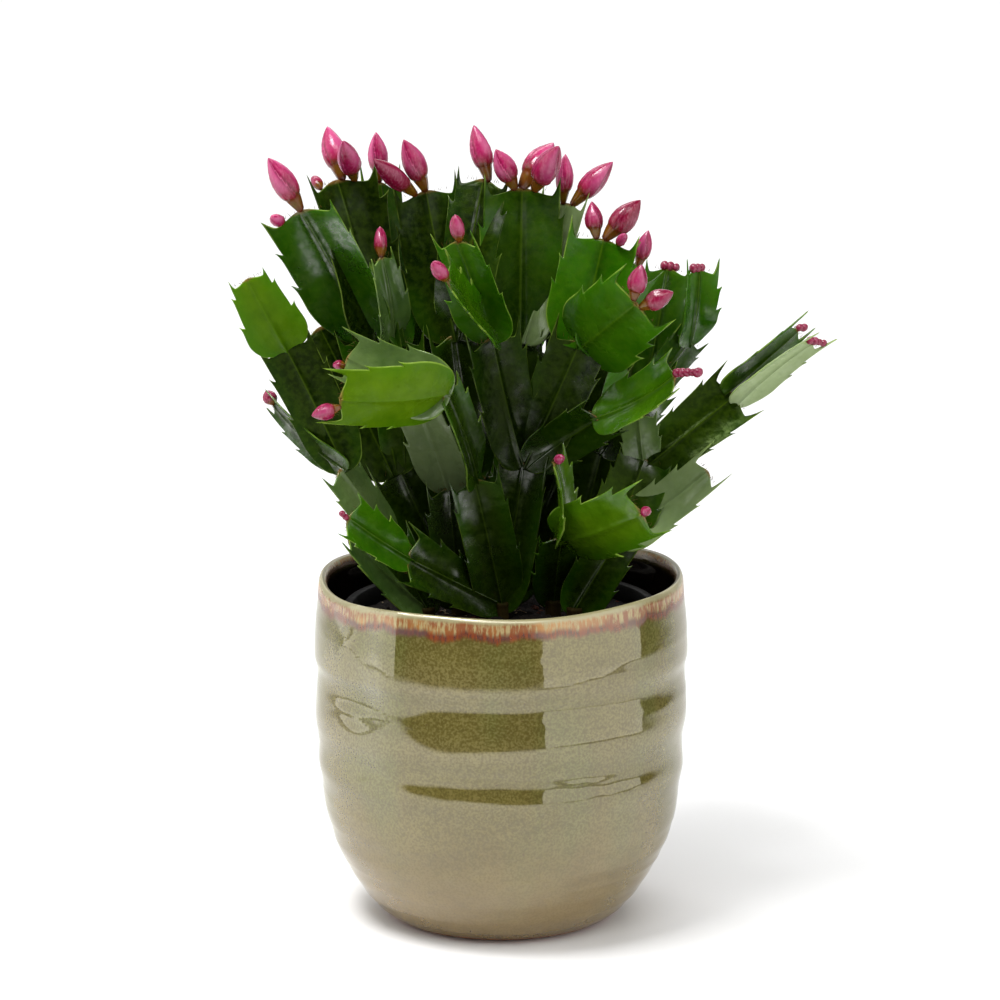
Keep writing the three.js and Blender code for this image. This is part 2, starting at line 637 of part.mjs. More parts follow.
function add(name, solid, material) {
  const mesh = new THREE.Mesh(geometryOf(solid), material);
  mesh.name = name;
  plant.add(mesh);
}

const cuttings = {};
const segmentsByName = {};
const plans = [...Object.entries(CUTTINGS), ['cutting_back', BACK_CUTTING]];
plans.forEach(([name, plan], order) => {
  const segments = plan.rows ? drawnCutting(plan, order + 1) : ruledCutting(plan, order + 1);
  cuttings[name] = cuttingSolid(plan.root, segments);
  for (const segment of segments) segmentsByName[segment.name] = { segment, cutting: name };
});

add('pot', stonewarePot(), GLAZE);
add('nursery_pot', nurseryPot(), PLASTIC);
add('soil', soilBall(plans.map(([, plan]) => plan.root)), PEAT);
for (const [name, solid] of Object.entries(cuttings)) add(name, solid, GREEN);

BUDS.forEach(([on, place, across, height, depth, girth], k) => {
  const { segment, cutting } = segmentsByName[on];
  const bud = budSolid(budSeat(segment, place, 0), fromBoard(across, height, depth), girth * BUD_FULLNESS);
  add(`bud_${String(k + 1).padStart(2, '0')}`, seated(bud, cuttings[cutting], segment), PINK);
});
BEADS.forEach(([on, place, count, girth, heading], k) => {
  const { segment, cutting } = segmentsByName[on];
  const row = beadRow(segment, place, count, girth, heading);
  add(`beads_${k + 1}`, seated(row, cuttings[cutting], segment), PINK);
});

export default plant;
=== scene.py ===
"""A Christmas cactus in bud in a nursery pot, standing inside a ribbed, glazed stoneware cover pot.

Lengths are in millimetres until a piece is made. The origin is the centre of the stoneware pot's flat base.
"""

import math

import bpy
import numpy as np
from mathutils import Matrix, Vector


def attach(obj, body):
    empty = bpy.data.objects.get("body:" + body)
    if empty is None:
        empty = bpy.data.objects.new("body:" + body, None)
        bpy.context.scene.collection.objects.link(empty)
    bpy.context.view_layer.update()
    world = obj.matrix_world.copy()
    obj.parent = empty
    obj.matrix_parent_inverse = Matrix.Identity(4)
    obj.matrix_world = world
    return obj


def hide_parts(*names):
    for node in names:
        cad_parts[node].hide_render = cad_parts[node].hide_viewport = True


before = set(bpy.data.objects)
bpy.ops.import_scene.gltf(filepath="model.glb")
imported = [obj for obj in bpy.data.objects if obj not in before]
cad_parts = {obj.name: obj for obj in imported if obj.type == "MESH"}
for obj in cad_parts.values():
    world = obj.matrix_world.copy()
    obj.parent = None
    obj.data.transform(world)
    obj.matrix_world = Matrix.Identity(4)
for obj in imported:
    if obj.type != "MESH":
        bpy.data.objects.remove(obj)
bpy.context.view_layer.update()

MM = 0.001

# Stoneware pot
POT_HEIGHT = 130.0
POT_FLOOR = 9.0
POT_OUTSIDE = [
    (0, 0), (37, 0), (41.5, 0.25), (43.3, 0.9), (45.5, 2.0), (49.5, 5), (53.8, 10), (58, 17), (62, 24),
    (64.9, 31), (67.2, 39), (68.9, 48), (69.9, 59), (70.2, 68), (70.5, 78), (70.7, 87), (70.8, 96), (71, 102),
    (71, 114), (70.5, 124), (69.9, 128), (69.2, 129.4), (68.3, 130),
]
POT_INSIDE = [
    (67.4, 129.6), (66.6, 128.2), (66.1, 125), (66.2, 118), (65.6, 70), (63, 43), (57.2, 23), (51, 13.5),
    (44, 9), (0, 9),
]
# Throwing rings round the pot: height of the crest, swell, half depth below and above the crest, and where in
# its wave round the pot the crest starts
RINGS = [
    (102, 1.4, 4.0, 15.0, 3.1), (78.3, 1.5, 6.5, 13.0, 2.5), (60, 0.9, 5.5, 6.5, 3.8),
    (42, 0.6, 5.0, 6.0, 5.7), (30, 0.6, 4.0, 5.0, 7.6), (17, 0.5, 3.5, 4.0, 9.5),
]
RING_WAVE = 1.6
RING_MEAN = 0.6
# Finer finger marks between the rings: height, swell and half depth
FINGER_MARKS = [
    (117, 0.16, 2.4), (110, 0.14, 2.0), (90, 0.18, 2.2), (70, 0.16, 2.0), (50, 0.16, 2.0), (36, 0.16, 1.8),
    (24, 0.16, 1.8), (12, 0.14, 1.6),
]
# Bands where the glaze surface leans back over the rings: lowest and highest height, and added slope
GLAZE_LEANS = [(104.0, 127.0, 0.12), (80.5, 97.5, 0.15), (60.0, 71.5, 0.15), (44, 49, 0.06), (32, 36, 0.06)]
LEAN_EDGE = 1.4
# Angles round the pot at which each band narrows nearly to a point, the last pair for all lower bands. Each
# band turns its angles on by one more step.
PINCHES = [(-2.5, 0.8), (-2.2, 2.6), (-2.3, 1.2)]
PINCH_STEP = 0.05
PINCH_WIDTH = 0.15
PINCH_DEPTH = 0.9
# The rim over the plain height: a mean rise, and waves with their count round the mouth, height and start
RIM_RISE = 2.3
RIM_WAVES = [(1, 0.8, 0.0), (2, 0.6, -0.4), (3, 0.3, 1.3), (4, 0.2, -1.4), (5, 0.5, 2.2)]
MOUTH_SQUARENESS = 0.9
# How far the look of the lip reaches down outside and inside, and its value at the rim
LIP_DEPTH = 6.5
INNER_LIP_DEPTH = 3.0
LIP_AT_RIM = 1.7
POT_SIDES = 240
POT_OUTSIDE_STEPS = 260
POT_INSIDE_STEPS = 70

# Nursery pot and soil
GAP = 0.3
NURSERY_TOP = 121.0
NURSERY_WALL = 1.2
NURSERY_FOOT_RADIUS = 42.0
NURSERY_MOUTH_RADIUS = 58.0
NURSERY_LIP = 2.2
NURSERY_SIDES = 120
NURSERY_STEPS = 70
SOIL_TOP = 115.0
SOIL_RELIEF = 1.4
SOIL_SIDES = 150
SOIL_STEPS = 60
SOIL_SEED = 7
CRUMBS = 420
ROOT_THREADS = 26
THREAD_STEPS = 12
THREAD_RADIUS = 0.22
THREAD_ABOVE = 0.35

# The egg shape of the bush, for the shade painted darker deep inside it
BUSH_MIDDLE = np.array([4.0, 8.0, 180.0])
BUSH_REACH = np.array([92.0, 78.0, 116.0])
BUSH_INNER = 0.25
BUSH_OUTER = 0.72

# Plant
EDGE_THICKNESS = 0.8
RIB_THICKNESS_BASE = 3.8
RIB_THICKNESS_TIP = 2.2
NECK_SUNK = 2.6
STUB_RADIUS = 3.2
STUB_STANDS = 6.0

# The eye that draws the plant. The camera stands there too, a little to the left.
EYE_DISTANCE = 1400.0
AIM = np.array([0.0, 0.0, 161.5])
LOOK_DOWN = math.radians(12)
LOOK = np.array([0.0, math.cos(LOOK_DOWN), -math.sin(LOOK_DOWN)])
BOARD_UP = np.array([0.0, math.sin(LOOK_DOWN), math.cos(LOOK_DOWN)])
EYE = AIM - EYE_DISTANCE * LOOK
CAMERA_ASIDE = -0.38
FRAME_WIDTH = 380.0
SENSOR = 36.0


def from_board(across, height, depth):
    """A point drawn at across and height on a board through the pot's axis, square to the look, slid along
    the line of sight to depth behind the axis."""
    on_board = AIM + BOARD_UP * (height - AIM[2]) + np.array([across, 0.0, 0.0])
    sight = on_board - EYE
    return EYE + sight * (depth - EYE[1]) / sight[1]


def draw(seed):
    """A repeatable draw from 0 to 1: the fraction of a large sine."""
    wave = math.sin(seed * 127.1 + 11.7) * 43758.5453
    return wave - math.floor(wave)


def spread(seed, reach):
    """A repeatable draw from -reach to reach."""
    return (draw(seed) * 2 - 1) * reach


# Skins and pieces


def loft(rows, **values):
    """A closed skin over rows of points: quads between neighbouring rows, and a fan from each end row to its
    middle. Returns the points, the quads, the triangles and each value at each point, faces outwards."""
    count, across = rows.shape[:2]
    points = np.concatenate([rows.reshape(-1, 3), rows[[0, -1]].mean(axis=1)])
    index = np.arange(count * across).reshape(count, across)
    beside = np.roll(index, -1, axis=1)
    quads = np.stack([index[:-1], beside[:-1], beside[1:], index[1:]], axis=-1).reshape(-1, 4)
    start = np.full(across, count * across)
    fans = np.concatenate([
        np.stack([beside[0], index[0], start], axis=-1),
        np.stack([index[-1], beside[-1], start + 1], axis=-1),
    ])
    corners = points[np.concatenate([quads[:, :3], quads[:, [0, 2, 3]], fans])]
    if np.einsum("ij,ij->", corners[:, 0], np.cross(corners[:, 1], corners[:, 2])) < 0:
        quads = quads[:, ::-1]
        fans = fans[:, ::-1]
    at_points = {}
    for name, value in values.items():
        full = np.broadcast_to(value, (count, across)).astype(float)
        at_points[name] = np.concatenate([full.ravel(), full[[0, -1]].mean(axis=1)])
    return points, quads, fans, at_points


def placed(name, data):
    """An object in the scene for a mesh, a light or a camera."""
    thing = bpy.data.objects.new(name, data)
    bpy.context.scene.collection.objects.link(thing)
    return thing


def smooth_mesh(name, points, faces, material):
    mesh = bpy.data.meshes.new(name)
    mesh.from_pydata(points.tolist(), [], faces)
    mesh.polygons.foreach_set("use_smooth", np.ones(len(faces), dtype=bool))
    mesh.materials.append(material)
    return mesh


def piece(name, skins, material, slot, *nodes):
    """One mesh object from several skins, smooth, riding on the part and standing for the CAD nodes."""
    points = np.concatenate([skin[0] for skin in skins]) * MM
    faces = []
    start = 0
    for skin in skins:
        faces += (skin[1] + start).tolist() + (skin[2] + start).tolist()
        start += len(skin[0])
    mesh = smooth_mesh(name, points, faces, material)
    for key in skins[0][3]:
        values = np.concatenate([skin[3][key] for skin in skins])
        mesh.attributes.new(key, "FLOAT", "POINT").data.foreach_set("value", values)
    mesh.update()
    thing = placed(name, mesh)
    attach(thing, "root")
    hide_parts(*nodes)


def along_profile(profile, steps):
    """Points evenly spread along a profile of straight stretches, its corners kept."""
    profile = np.array(profile, dtype=float)
    lengths = np.hypot(*np.diff(profile, axis=0).T)
    counts = np.maximum(1, np.round(steps * lengths / lengths.sum())).astype(int)
    marks = [np.linspace(k, k + 1, n, endpoint=False) for k, n in enumerate(counts)]
    at = np.append(np.concatenate(marks), len(profile) - 1)
    knots = np.arange(len(profile))
    return np.interp(at, knots, profile[:, 0]), np.interp(at, knots, profile[:, 1])


def round_turn(count):
    """A row of even angles round a full turn."""
    return np.linspace(0, 2 * np.pi, count, endpoint=False)[None, :]


def turned(radius, height, angle):
    """Points of a turned body: radius and height may change with the angle round Z."""
    radius, height, angle = np.broadcast_arrays(radius, height, angle)
    return np.stack([radius * np.cos(angle), radius * np.sin(angle), height], axis=-1)


# Shaders


def srgb(red, green, blue):
    """A colour from its 0 to 255 display values."""
    share = np.array([red, green, blue]) / 255
    linear = np.where(share <= 0.04045, share / 12.92, ((share + 0.055) / 1.055) ** 2.4)
    return (*linear.tolist(), 1.0)


# A mix node has sockets for each kind of value. These are its two colours and its mixed colour.
MIX_COLOURS = slice(6, 8)
MIX_RESULT = 2


class Wiring:
    """Short ways to add and join shader nodes in one tree. A value is a socket or a plain number."""

    def __init__(self, tree):
        self.tree = tree

    def add(self, kind, **settings):
        node = self.tree.nodes.new(kind)
        for key, value in settings.items():
            setattr(node, key, value)
        return node

    def join(self, source, target):
        if isinstance(source, bpy.types.NodeSocket):
            self.tree.links.new(source, target)
        else:
            target.default_value = source

    def output_of(self, kind, given, **settings):
        """Adds a node, gives its named inputs their values and returns its first output."""
        node = self.add(kind, **settings)
        for name, value in given.items():
            self.join(value, node.inputs[name])
        return node.outputs[0]

    def math(self, operation, *values, clamp=False):
        node = self.add("ShaderNodeMath", operation=operation, use_clamp=clamp)
        for value, socket in zip(values, node.inputs):
            self.join(value, socket)
        return node.outputs[0]

    def times(self, first, second):
        return self.math("MULTIPLY", first, second)

    def plus(self, first, second):
        return self.math("ADD", first, second)

    def mix(self, share, low, high):
        """A colour between low and high, each a socket or three display values."""
        node = self.add("ShaderNodeMix", data_type="RGBA")
        self.join(share, node.inputs["Factor"])
        for colour, socket in zip((low, high), node.inputs[MIX_COLOURS]):
            self.join(srgb(*colour) if isinstance(colour, tuple) else colour, socket)
        return node.outputs[MIX_RESULT]

    def layers(self, body, *coats):
        """The body's colour with coats laid over it in turn, each how much of it shows and its colour."""
        for share, colour in coats:
            body = self.mix(share, body, colour)
        return body

    def ramp(self, value, low, high, to_low=0.0, to_high=1.0):
        """A soft step from to_low to to_high while the value goes from low to high."""
        given = {"Value": value, "From Min": low, "From Max": high, "To Min": to_low, "To Max": to_high}
        return self.output_of("ShaderNodeMapRange", given, interpolation_type="SMOOTHSTEP")

    def noise(self, place, scale, detail=3.0, roughness=0.55):
        given = {"Vector": place, "Scale": scale, "Detail": detail, "Roughness": roughness}
        return self.output_of("ShaderNodeTexNoise", given)

    def stretched(self, place, upwards):
        """The place with its height multiplied, so that patterns come out longer or shorter along it."""
        return self.output_of("ShaderNodeMapping", {"Vector": place, "Scale": (1, 1, upwards)})

    def value_of(self, name):
        return self.add("ShaderNodeAttribute", attribute_name=name).outputs["Fac"]

    def place(self):
        return self.add("ShaderNodeTexCoord").outputs["Object"]

    def mottle(self, place, scale, contrast):
        given = {"Place": place, "Scale": scale, "Contrast": contrast}
        return self.output_of("ShaderNodeGroup", given, node_tree=MOTTLE)


def mottle_group():
    """Mottle: two scales of noise added and stretched to 0..1, for uneven colour and gloss."""
    group = bpy.data.node_groups.new("mottle", "ShaderNodeTree")
    for name, kind in (("Place", "Vector"), ("Scale", "Float"), ("Contrast", "Float")):
        group.interface.new_socket(name, in_out="INPUT", socket_type=f"NodeSocket{kind}")
    group.interface.new_socket("Amount", in_out="OUTPUT", socket_type="NodeSocketFloat")
    place, scale, contrast = group.nodes.new("NodeGroupInput").outputs[:3]
    w = Wiring(group)
    coarse = w.noise(place, scale, 3.0, 0.5)
    fine = w.noise(place, w.times(scale, 4.3), 3.0, 0.5)
    both = w.plus(w.times(coarse, 0.65), w.times(fine, 0.35))
    centred = w.times(w.math("SUBTRACT", both, 0.5), w.times(contrast, 4.0))
    w.join(w.math("ADD", centred, 0.5, clamp=True), group.nodes.new("NodeGroupOutput").inputs["Amount"])
    return group


def material(name, settings):
    """A principled material with its constant settings. Returns the material, its shader and its wiring."""
    made = bpy.data.materials.new(name)
    made.use_nodes = True
    shader = made.node_tree.nodes["Principled BSDF"]
    for key, value in settings.items():
        shader.inputs[key].default_value = value
    return made, shader, Wiring(made.node_tree)


def relief_normal(w, shader, height, distance):
    """Feeds a height in shares of distance, in metres, to the shader's normal."""
    bump = w.output_of("ShaderNodeBump", {"Strength": 1.0, "Distance": distance, "Height": height})
    w.join(bump, shader.inputs["Normal"])


MOTTLE = mottle_group()


def glaze_material():
    """Very glossy stoneware glaze: olive above and beige below, with clouds, veils, specks and pale grain.
    Below the lip it runs in rust and amber streaks, and it is pale on the lip, dark inside and painted nearly
    black there as the shade in the pot, and bare clay in a thin line at the foot. Attributes: swell of the
    rings in mm, lip up to 1.7 at the rim, inner for the inside, where the shade is painted, and lean, the
    relief of the glaze in mm."""
    made, shader, w = material("stoneware_glaze", {"IOR": 2.1, "Specular Tint": (1.0, 0.94, 0.8, 1.0)})
    place = w.place()
    up = w.add("ShaderNodeSeparateXYZ")
    w.join(place, up.inputs[0])
    height = up.outputs[2]
    lip = w.value_of("lip")
    run = w.noise(w.stretched(place, 0.16), 95, 4, 0.6)
    cloud = w.mottle(w.stretched(place, 1.8), 30.0, 0.7)
    low = w.ramp(w.plus(height, w.times(run, 0.03)), 0.02, 0.09)
    veil = w.ramp(w.noise(w.stretched(place, 0.35), 30, 3), 0.48, 0.66, 0.0, 0.4)
    grain = w.noise(place, 1100, 2, 0.5)
    body = w.layers(
        w.mix(low, w.mix(cloud, (106, 84, 40), (124, 102, 56)), w.mix(cloud, (88, 80, 34), (110, 102, 52))),
        (w.times(veil, w.ramp(low, 0, 1, 0.2, 1)), (86, 98, 46)),
        (w.ramp(w.value_of("swell"), 0.6, 1.5, 0.0, 0.3), (132, 120, 82)),
        (w.times(w.ramp(grain, 0.46, 0.62, 0.0, 0.6), w.ramp(low, 0, 1, 0.4, 1)), (74, 62, 22)),
        (w.times(w.ramp(grain, 0.38, 0.47, 0.24, 0.0), w.ramp(low, 0.2, 1, 0.15, 1)), (138, 126, 78)),
        (w.ramp(w.noise(place, 420, 2, 0.5), 0.72, 0.78, 0.0, 0.7), (74, 50, 28)),
    )
    drip = w.times(w.math("SUBTRACT", run, 0.5), 1.2)
    flow = w.plus(lip, drip)
    streak = w.noise(w.stretched(place, 0.2), 800, 4, 0.65)
    amber = w.mix(w.ramp(w.noise(place, 44, 2), 0.42, 0.6), (128, 68, 32), (168, 116, 56))
    rust = w.layers(
        w.mix(w.ramp(streak, 0.42, 0.6), (84, 40, 30), (124, 50, 16)),
        (w.ramp(w.noise(place, 60, 2), 0.5, 0.66, 0.0, 0.6), (92, 72, 74)),
        (w.ramp(flow, 0.75, 1.1), w.mix(w.ramp(streak, 0.38, 0.56), (164, 148, 102), amber)),
    )
    band = w.ramp(flow, 0.35, 0.7)
    crest = w.ramp(w.plus(lip, w.times(drip, 0.3)), 1.32, 1.55)
    bare = w.ramp(w.plus(height, w.times(run, 0.0016)), 0.0022, 0.0031, 1.0, 0.0)
    body = w.layers(
        body,
        (w.times(band, 0.95), rust),
        (w.times(crest, 0.9), (146, 142, 106)),
        # Painted shade: inside the pot the glaze turns nearly black a few mm below the rim
        (w.value_of("inner"), w.mix(w.noise(place, 120, 3), (8, 6, 5), (22, 14, 10))),
        (bare, w.mix(w.noise(place, 900, 3), (120, 66, 40), (164, 100, 62))),
    )
    w.join(body, shader.inputs["Base Color"])
    matt = w.math("MAXIMUM", w.times(bare, 0.6), w.times(band, 0.22))
    w.join(w.plus(matt, w.ramp(cloud, 0, 1, 0.02, 0.06)), shader.inputs["Roughness"])
    ripple = w.noise(w.stretched(place, 2.2), 34, 2, 0.4)
    rough = w.plus(w.times(ripple, 0.5), w.times(w.noise(place, 700, 2, 0.5), 0.004))
    relief_normal(w, shader, w.plus(rough, w.value_of("lean")), 0.001)
    return made


def plastic_material():
    """Dark moulded plastic with a little dust, darkened further to near black as painted shade inside the
    pot.
    """
    made, shader, w = material("nursery_plastic", {"Specular IOR Level": 0.12})
    place = w.place()
    dust = w.mottle(place, 60.0, 1.0)
    # Its own dark colour, painted nearly black as the shade inside the pot
    w.join(w.mix(dust, (3, 2, 2), (9, 7, 6)), shader.inputs["Base Color"])
    w.join(w.ramp(dust, 0, 1, 0.5, 0.7), shader.inputs["Roughness"])
    relief_normal(w, shader, w.noise(place, 2200, 2), 0.00006)
    return made


def soil_material():
    """Dark peat, darkened further as painted shade inside the pot, with paler crumbs. The attribute kind is 0
    for peat, 1 for bark and 2 for pale grit.
    """
    made, shader, w = material("peat", {"Roughness": 0.92, "Specular IOR Level": 0.2})
    place = w.place()
    kind = w.value_of("kind")
    grain = w.mottle(place, 500.0, 1.4)
    body = w.layers(
        # Peat: its own dark colour, painted darker still as the shade inside the pot
        w.mix(grain, (6, 4, 3), (26, 18, 12)),
        (w.ramp(kind, 0.4, 0.6), w.mix(grain, (40, 20, 12), (92, 48, 30))),
        (w.ramp(kind, 1.4, 1.6), w.mix(grain, (92, 72, 50), (150, 134, 108))),
    )
    w.join(body, shader.inputs["Base Color"])
    relief_normal(w, shader, w.noise(place, 900, 4, 0.7), 0.0012)
    return made


def stem_material():
    """Waxy stem skin. Attributes: age from 0, fresh, to 1, old, and on to 1.5, nearly black, the part past 1
    being painted shade on blades turned from the light; margin from 0 at the midrib to 1 at the edge; reach
    along the segment; blunt at the tip; wood where the foot is corky; bloom where old wax greys it, with
    painted sheen, nearly white past 1 as a painted reflection; shine where the wax is polished; core, painted
    shade from 0 on the outside of the bush to 1 deep inside it."""
    made, shader, w = material("stem_skin", {
        "Coat Roughness": 0.16, "Coat IOR": 1.8,
        "Specular IOR Level": 0.12, "Specular Tint": (0.7, 1.0, 0.3, 1),
    })
    place = w.place()
    age = w.value_of("age")
    margin = w.value_of("margin")
    bloom = w.value_of("bloom")
    wood = w.value_of("wood")
    blotch = w.mottle(place, 34.0, 0.8)
    # Painted glow: the thin outer half of a blade is brighter green, as if light shone through it
    painted_edge_glow = w.times(w.ramp(margin, 0.3, 0.95, 0.0, 0.45), w.ramp(w.noise(place, 22, 1), 0.42, 0.6))
    # Painted shade: dark along the groove of the midrib, more so on older segments
    rib = w.times(w.ramp(margin, 0.0, 0.3, 0.6, 0.0), w.ramp(age, 0.1, 0.6, 0.3, 1.0))
    # Painted highlight: a pale, uneven line along the edge of the blade
    line = w.times(w.ramp(margin, 0.955, 0.99), w.ramp(w.noise(place, 90, 2), 0.42, 0.6, 0.1, 0.8))
    scar = w.times(w.ramp(w.value_of("reach"), 0.94, 0.97), w.value_of("blunt"))
    bark = w.mix(w.noise(w.stretched(place, 0.3), 700, 3, 0.6), (18, 15, 7), (62, 42, 20))
    body = w.layers(
        w.mix(blotch, (54, 88, 2), (84, 116, 6)),
        (w.ramp(age, 0.0, 0.45), w.mix(blotch, (20, 66, 1), (50, 98, 3))),
        (w.ramp(age, 0.4, 1.0), w.mix(blotch, (10, 24, 1), (34, 54, 3))),
        # Past age 1: painted shade, nearly black, on blades turned from the light
        (w.ramp(age, 1.0, 1.5, 0.0, 0.8), (3, 12, 1)),
        (w.times(painted_edge_glow, w.ramp(age, 0.7, 1.4, 1.0, 0.2)), (48, 104, 4)),
        (rib, (12, 28, 1)),
        (w.ramp(margin, 0.0, 0.05, 0.35, 0.0), w.mix(age, (78, 116, 8), (70, 92, 16))),
        # Grey wax bloom with painted sheen, and past 1 a nearly white painted reflection
        (w.times(bloom, 0.85), w.mix(blotch, (66, 88, 42), (108, 126, 78))),
        (w.ramp(bloom, 1.0, 1.5), (160, 176, 132)),
        (w.ramp(w.noise(place, 420, 2, 0.5), 0.35, 0.65, 0.0, 0.1), (84, 110, 20)),
        (w.times(line, w.ramp(age, 0.2, 1.0, 1.0, 0.55)), (128, 154, 60)),
        (w.times(scar, 0.8), (128, 92, 52)),
        (wood, bark),
        # Painted shade, nearly black, deep inside the bush
        (w.times(w.value_of("core"), 0.6), (5, 10, 1)),
    )
    w.join(body, shader.inputs["Base Color"])
    w.join(w.plus(w.ramp(blotch, 0, 1, 0.2, 0.3), w.times(wood, 0.4)), shader.inputs["Roughness"])
    patch = w.ramp(w.noise(place, 48, 2, 0.5), 0.44, 0.6)
    brushed = w.ramp(w.noise(place, 330, 3, 0.6), 0.35, 0.65, 0.35, 1.0)
    w.join(w.times(w.times(patch, brushed), w.value_of("shine")), shader.inputs["Coat Weight"])
    relief = w.plus(w.noise(place, 110, 2), w.times(w.noise(place, 700, 2), 0.1))
    relief_normal(w, shader, relief, 0.0009)
    return made


def bud_material():
    """Closed bud: olive and brown foot, pink petals, paler along their middle, magenta at the point, dark
    magenta along their free edges, and painted shade where the next petal's edge overlaps them. Attributes:
    rise from foot to point, petal from one edge of a petal to the other, and flush, how dark a magenta it is."""
    made, shader, w = material("bud_petals", {
        "Subsurface Weight": 0.08, "Subsurface Radius": (0.002, 0.0008, 0.001),
    })
    place = w.place()
    rise = w.value_of("rise")
    petal = w.value_of("petal")
    cloud = w.mottle(place, 210.0, 0.7)
    light = w.times(w.ramp(petal, 0.3, 0.7), w.ramp(rise, 0.35, 0.6, 0.0, 0.5))
    petals = w.layers(
        w.mix(cloud, (120, 18, 34), (156, 46, 68)),
        (w.ramp(rise, 0.3, 0.55), w.mix(cloud, (140, 8, 64), (180, 36, 100))),
        (w.ramp(rise, 0.78, 1.0, 0.0, 0.6), w.mix(cloud, (132, 2, 56), (160, 10, 84))),
        (light, (212, 104, 154)),
        (w.times(w.value_of("flush"), 0.85), (108, 2, 30)),
        (w.ramp(w.noise(w.stretched(place, 0.4), 1100, 2), 0.45, 0.7, 0.0, 0.14), (214, 132, 160)),
        (w.ramp(petal, 0.84, 0.97, 0.0, 0.65), (100, 0, 38)),
        # Painted shade just under the overlapping edge of the next petal
        (w.ramp(petal, 0.0, 0.2, 0.65, 0.0), (92, 2, 36)),
    )
    foot = w.mix(w.ramp(rise, 0.0, 0.14), (78, 26, 14), w.mix(cloud, (96, 74, 8), (112, 54, 12)))
    foot = w.mix(w.ramp(rise, 0.2, 0.32, 0.0, 0.7), foot, (98, 22, 16))
    turn = w.plus(rise, w.times(w.math("SUBTRACT", petal, 0.5), 0.1))
    w.join(w.mix(w.ramp(turn, 0.28, 0.36), foot, petals), shader.inputs["Base Color"])
    w.join(w.ramp(cloud, 0, 1, 0.16, 0.26), shader.inputs["Roughness"])
    relief_normal(w, shader, w.noise(w.stretched(place, 0.4), 1200, 2), 0.00008)
    return made


def floor_material():
    """Plain pale studio floor, its shade uneven by a trace."""
    made, shader, w = material("pale_floor", {"Roughness": 0.7})
    shade = w.plus(w.times(w.noise(w.place(), 3, 1), 0.02), 0.86)
    w.join(shade, shader.inputs["Base Color"])
    return made


GLAZE = glaze_material()
PLASTIC = plastic_material()
PEAT = soil_material()
STEM = stem_material()
BUD = bud_material()
FLOOR = floor_material()

# Stoneware pot


def ring_swell(height, angle):
    """Sum of soft rings, each a bell curve of the height from a crest that wanders a little round the pot."""
    total = 0
    for k, (level, swell, below, above, start) in enumerate(RINGS):
        crest = level + RING_WAVE * np.sin(angle + start)
        half = np.where(height < crest, below, above)
        waxing = 0.85 + 0.15 * np.sin(2 * angle + k)
        total = total + swell * waxing * np.exp(-(((height - crest) / half) ** 2))
    return total


def glaze_lean(height, angle):
    """Relief of the glaze alone, in mm: it falls by its slope through each leaning band and stays level
    between them. The bands wander round the pot and are closed off smoothly at both ends."""
    total = 0
    for k, (low, high, slope) in enumerate(GLAZE_LEANS):
        squeeze = 0
        for pinch in PINCHES[min(k, len(PINCHES) - 1)]:
            away = np.mod(angle - pinch - PINCH_STEP * k + np.pi, 2 * np.pi) - np.pi
            squeeze = squeeze + np.exp(-((away / PINCH_WIDTH) ** 2))
        middle = (low + high) / 2
        half = (high - low) / 2 * (1 - PINCH_DEPTH * squeeze)
        wander = 0.8 * np.sin(angle + RINGS[k][4])
        wander = wander + 0.7 * np.sin(5 * angle + 2 * k) + 0.4 * np.sin(11 * angle + k)
        for level, way in ((middle - half + wander, -1), (middle + half + 0.6 * wander, 1)):
            past = height - level
            total = total + way * slope * (past + np.sqrt(past**2 + LEAN_EDGE**2)) / 2
    return total


def finger_swell(height, angle):
    """Sum of narrow rings that fade in and out round the pot."""
    total = 0
    for k, (level, swell, half) in enumerate(FINGER_MARKS):
        crest = level + 1.4 * np.sin(angle * 2 + k * 2.3) + 0.5 * np.sin(5 * angle + k)
        fade = 0.5 + 0.5 * np.sin(angle + k * 1.3)
        total = total + swell * fade * np.exp(-(((height - crest) / half) ** 2))
    return total


def stoneware_pot():
    """Outside and inside profiles turned round Z. Rings swell the outside, and towards the mouth both
    follow the uneven rim and its slightly squared outline."""
    angle = round_turn(POT_SIDES)
    rim = RIM_RISE + sum(high * np.cos(count * angle - start) for count, high, start in RIM_WAVES)
    square = MOUTH_SQUARENESS * (0.4 + 0.7 * np.sin(3 * angle) - 0.5 * np.cos(4 * angle))
    parts = []
    walls = ((POT_OUTSIDE, POT_OUTSIDE_STEPS, True), (POT_INSIDE, POT_INSIDE_STEPS, False))
    for profile, steps, outside in walls:
        radius, height = (line[:, None] for line in along_profile(profile, steps))
        climb = np.maximum(0, (height - 20) / (POT_HEIGHT - 20))
        swell = ring_swell(height, angle)
        fine = finger_swell(height, angle)
        wall = outside * np.clip((height - 1.5) / 4, 0, 1) * (radius > 40)
        shown = wall * np.clip((POT_HEIGHT - height) / 6, 0, 1)
        grown = radius + shown * (swell - RING_MEAN + fine) + square * climb**2 * (radius > 30)
        lifted = height + rim * climb**3
        below_rim = POT_HEIGHT - height
        lip = LIP_AT_RIM - below_rim / (LIP_DEPTH if outside else INNER_LIP_DEPTH)
        # How far down inside the pot the painted shade has come on
        inner = np.clip(below_rim / 3 - 0.3, 0, 1) * (not outside)
        values = np.broadcast_arrays(swell, lip, inner, wall * glaze_lean(height, angle))
        parts.append((turned(grown, lifted, angle), *values))
    rows, swell, lip, inner, lean = (np.concatenate([part[k] for part in parts]) for k in range(5))
    skin = loft(rows, swell=swell, lip=lip, inner=inner, lean=lean)
    piece("stoneware_cover_pot", [skin], GLAZE, "glaze", "pot")


def nursery_radius(height):
    bottom = POT_FLOOR + GAP
    share = (height - bottom) / (NURSERY_TOP - bottom)
    return NURSERY_FOOT_RADIUS + (NURSERY_MOUTH_RADIUS - NURSERY_FOOT_RADIUS) * share


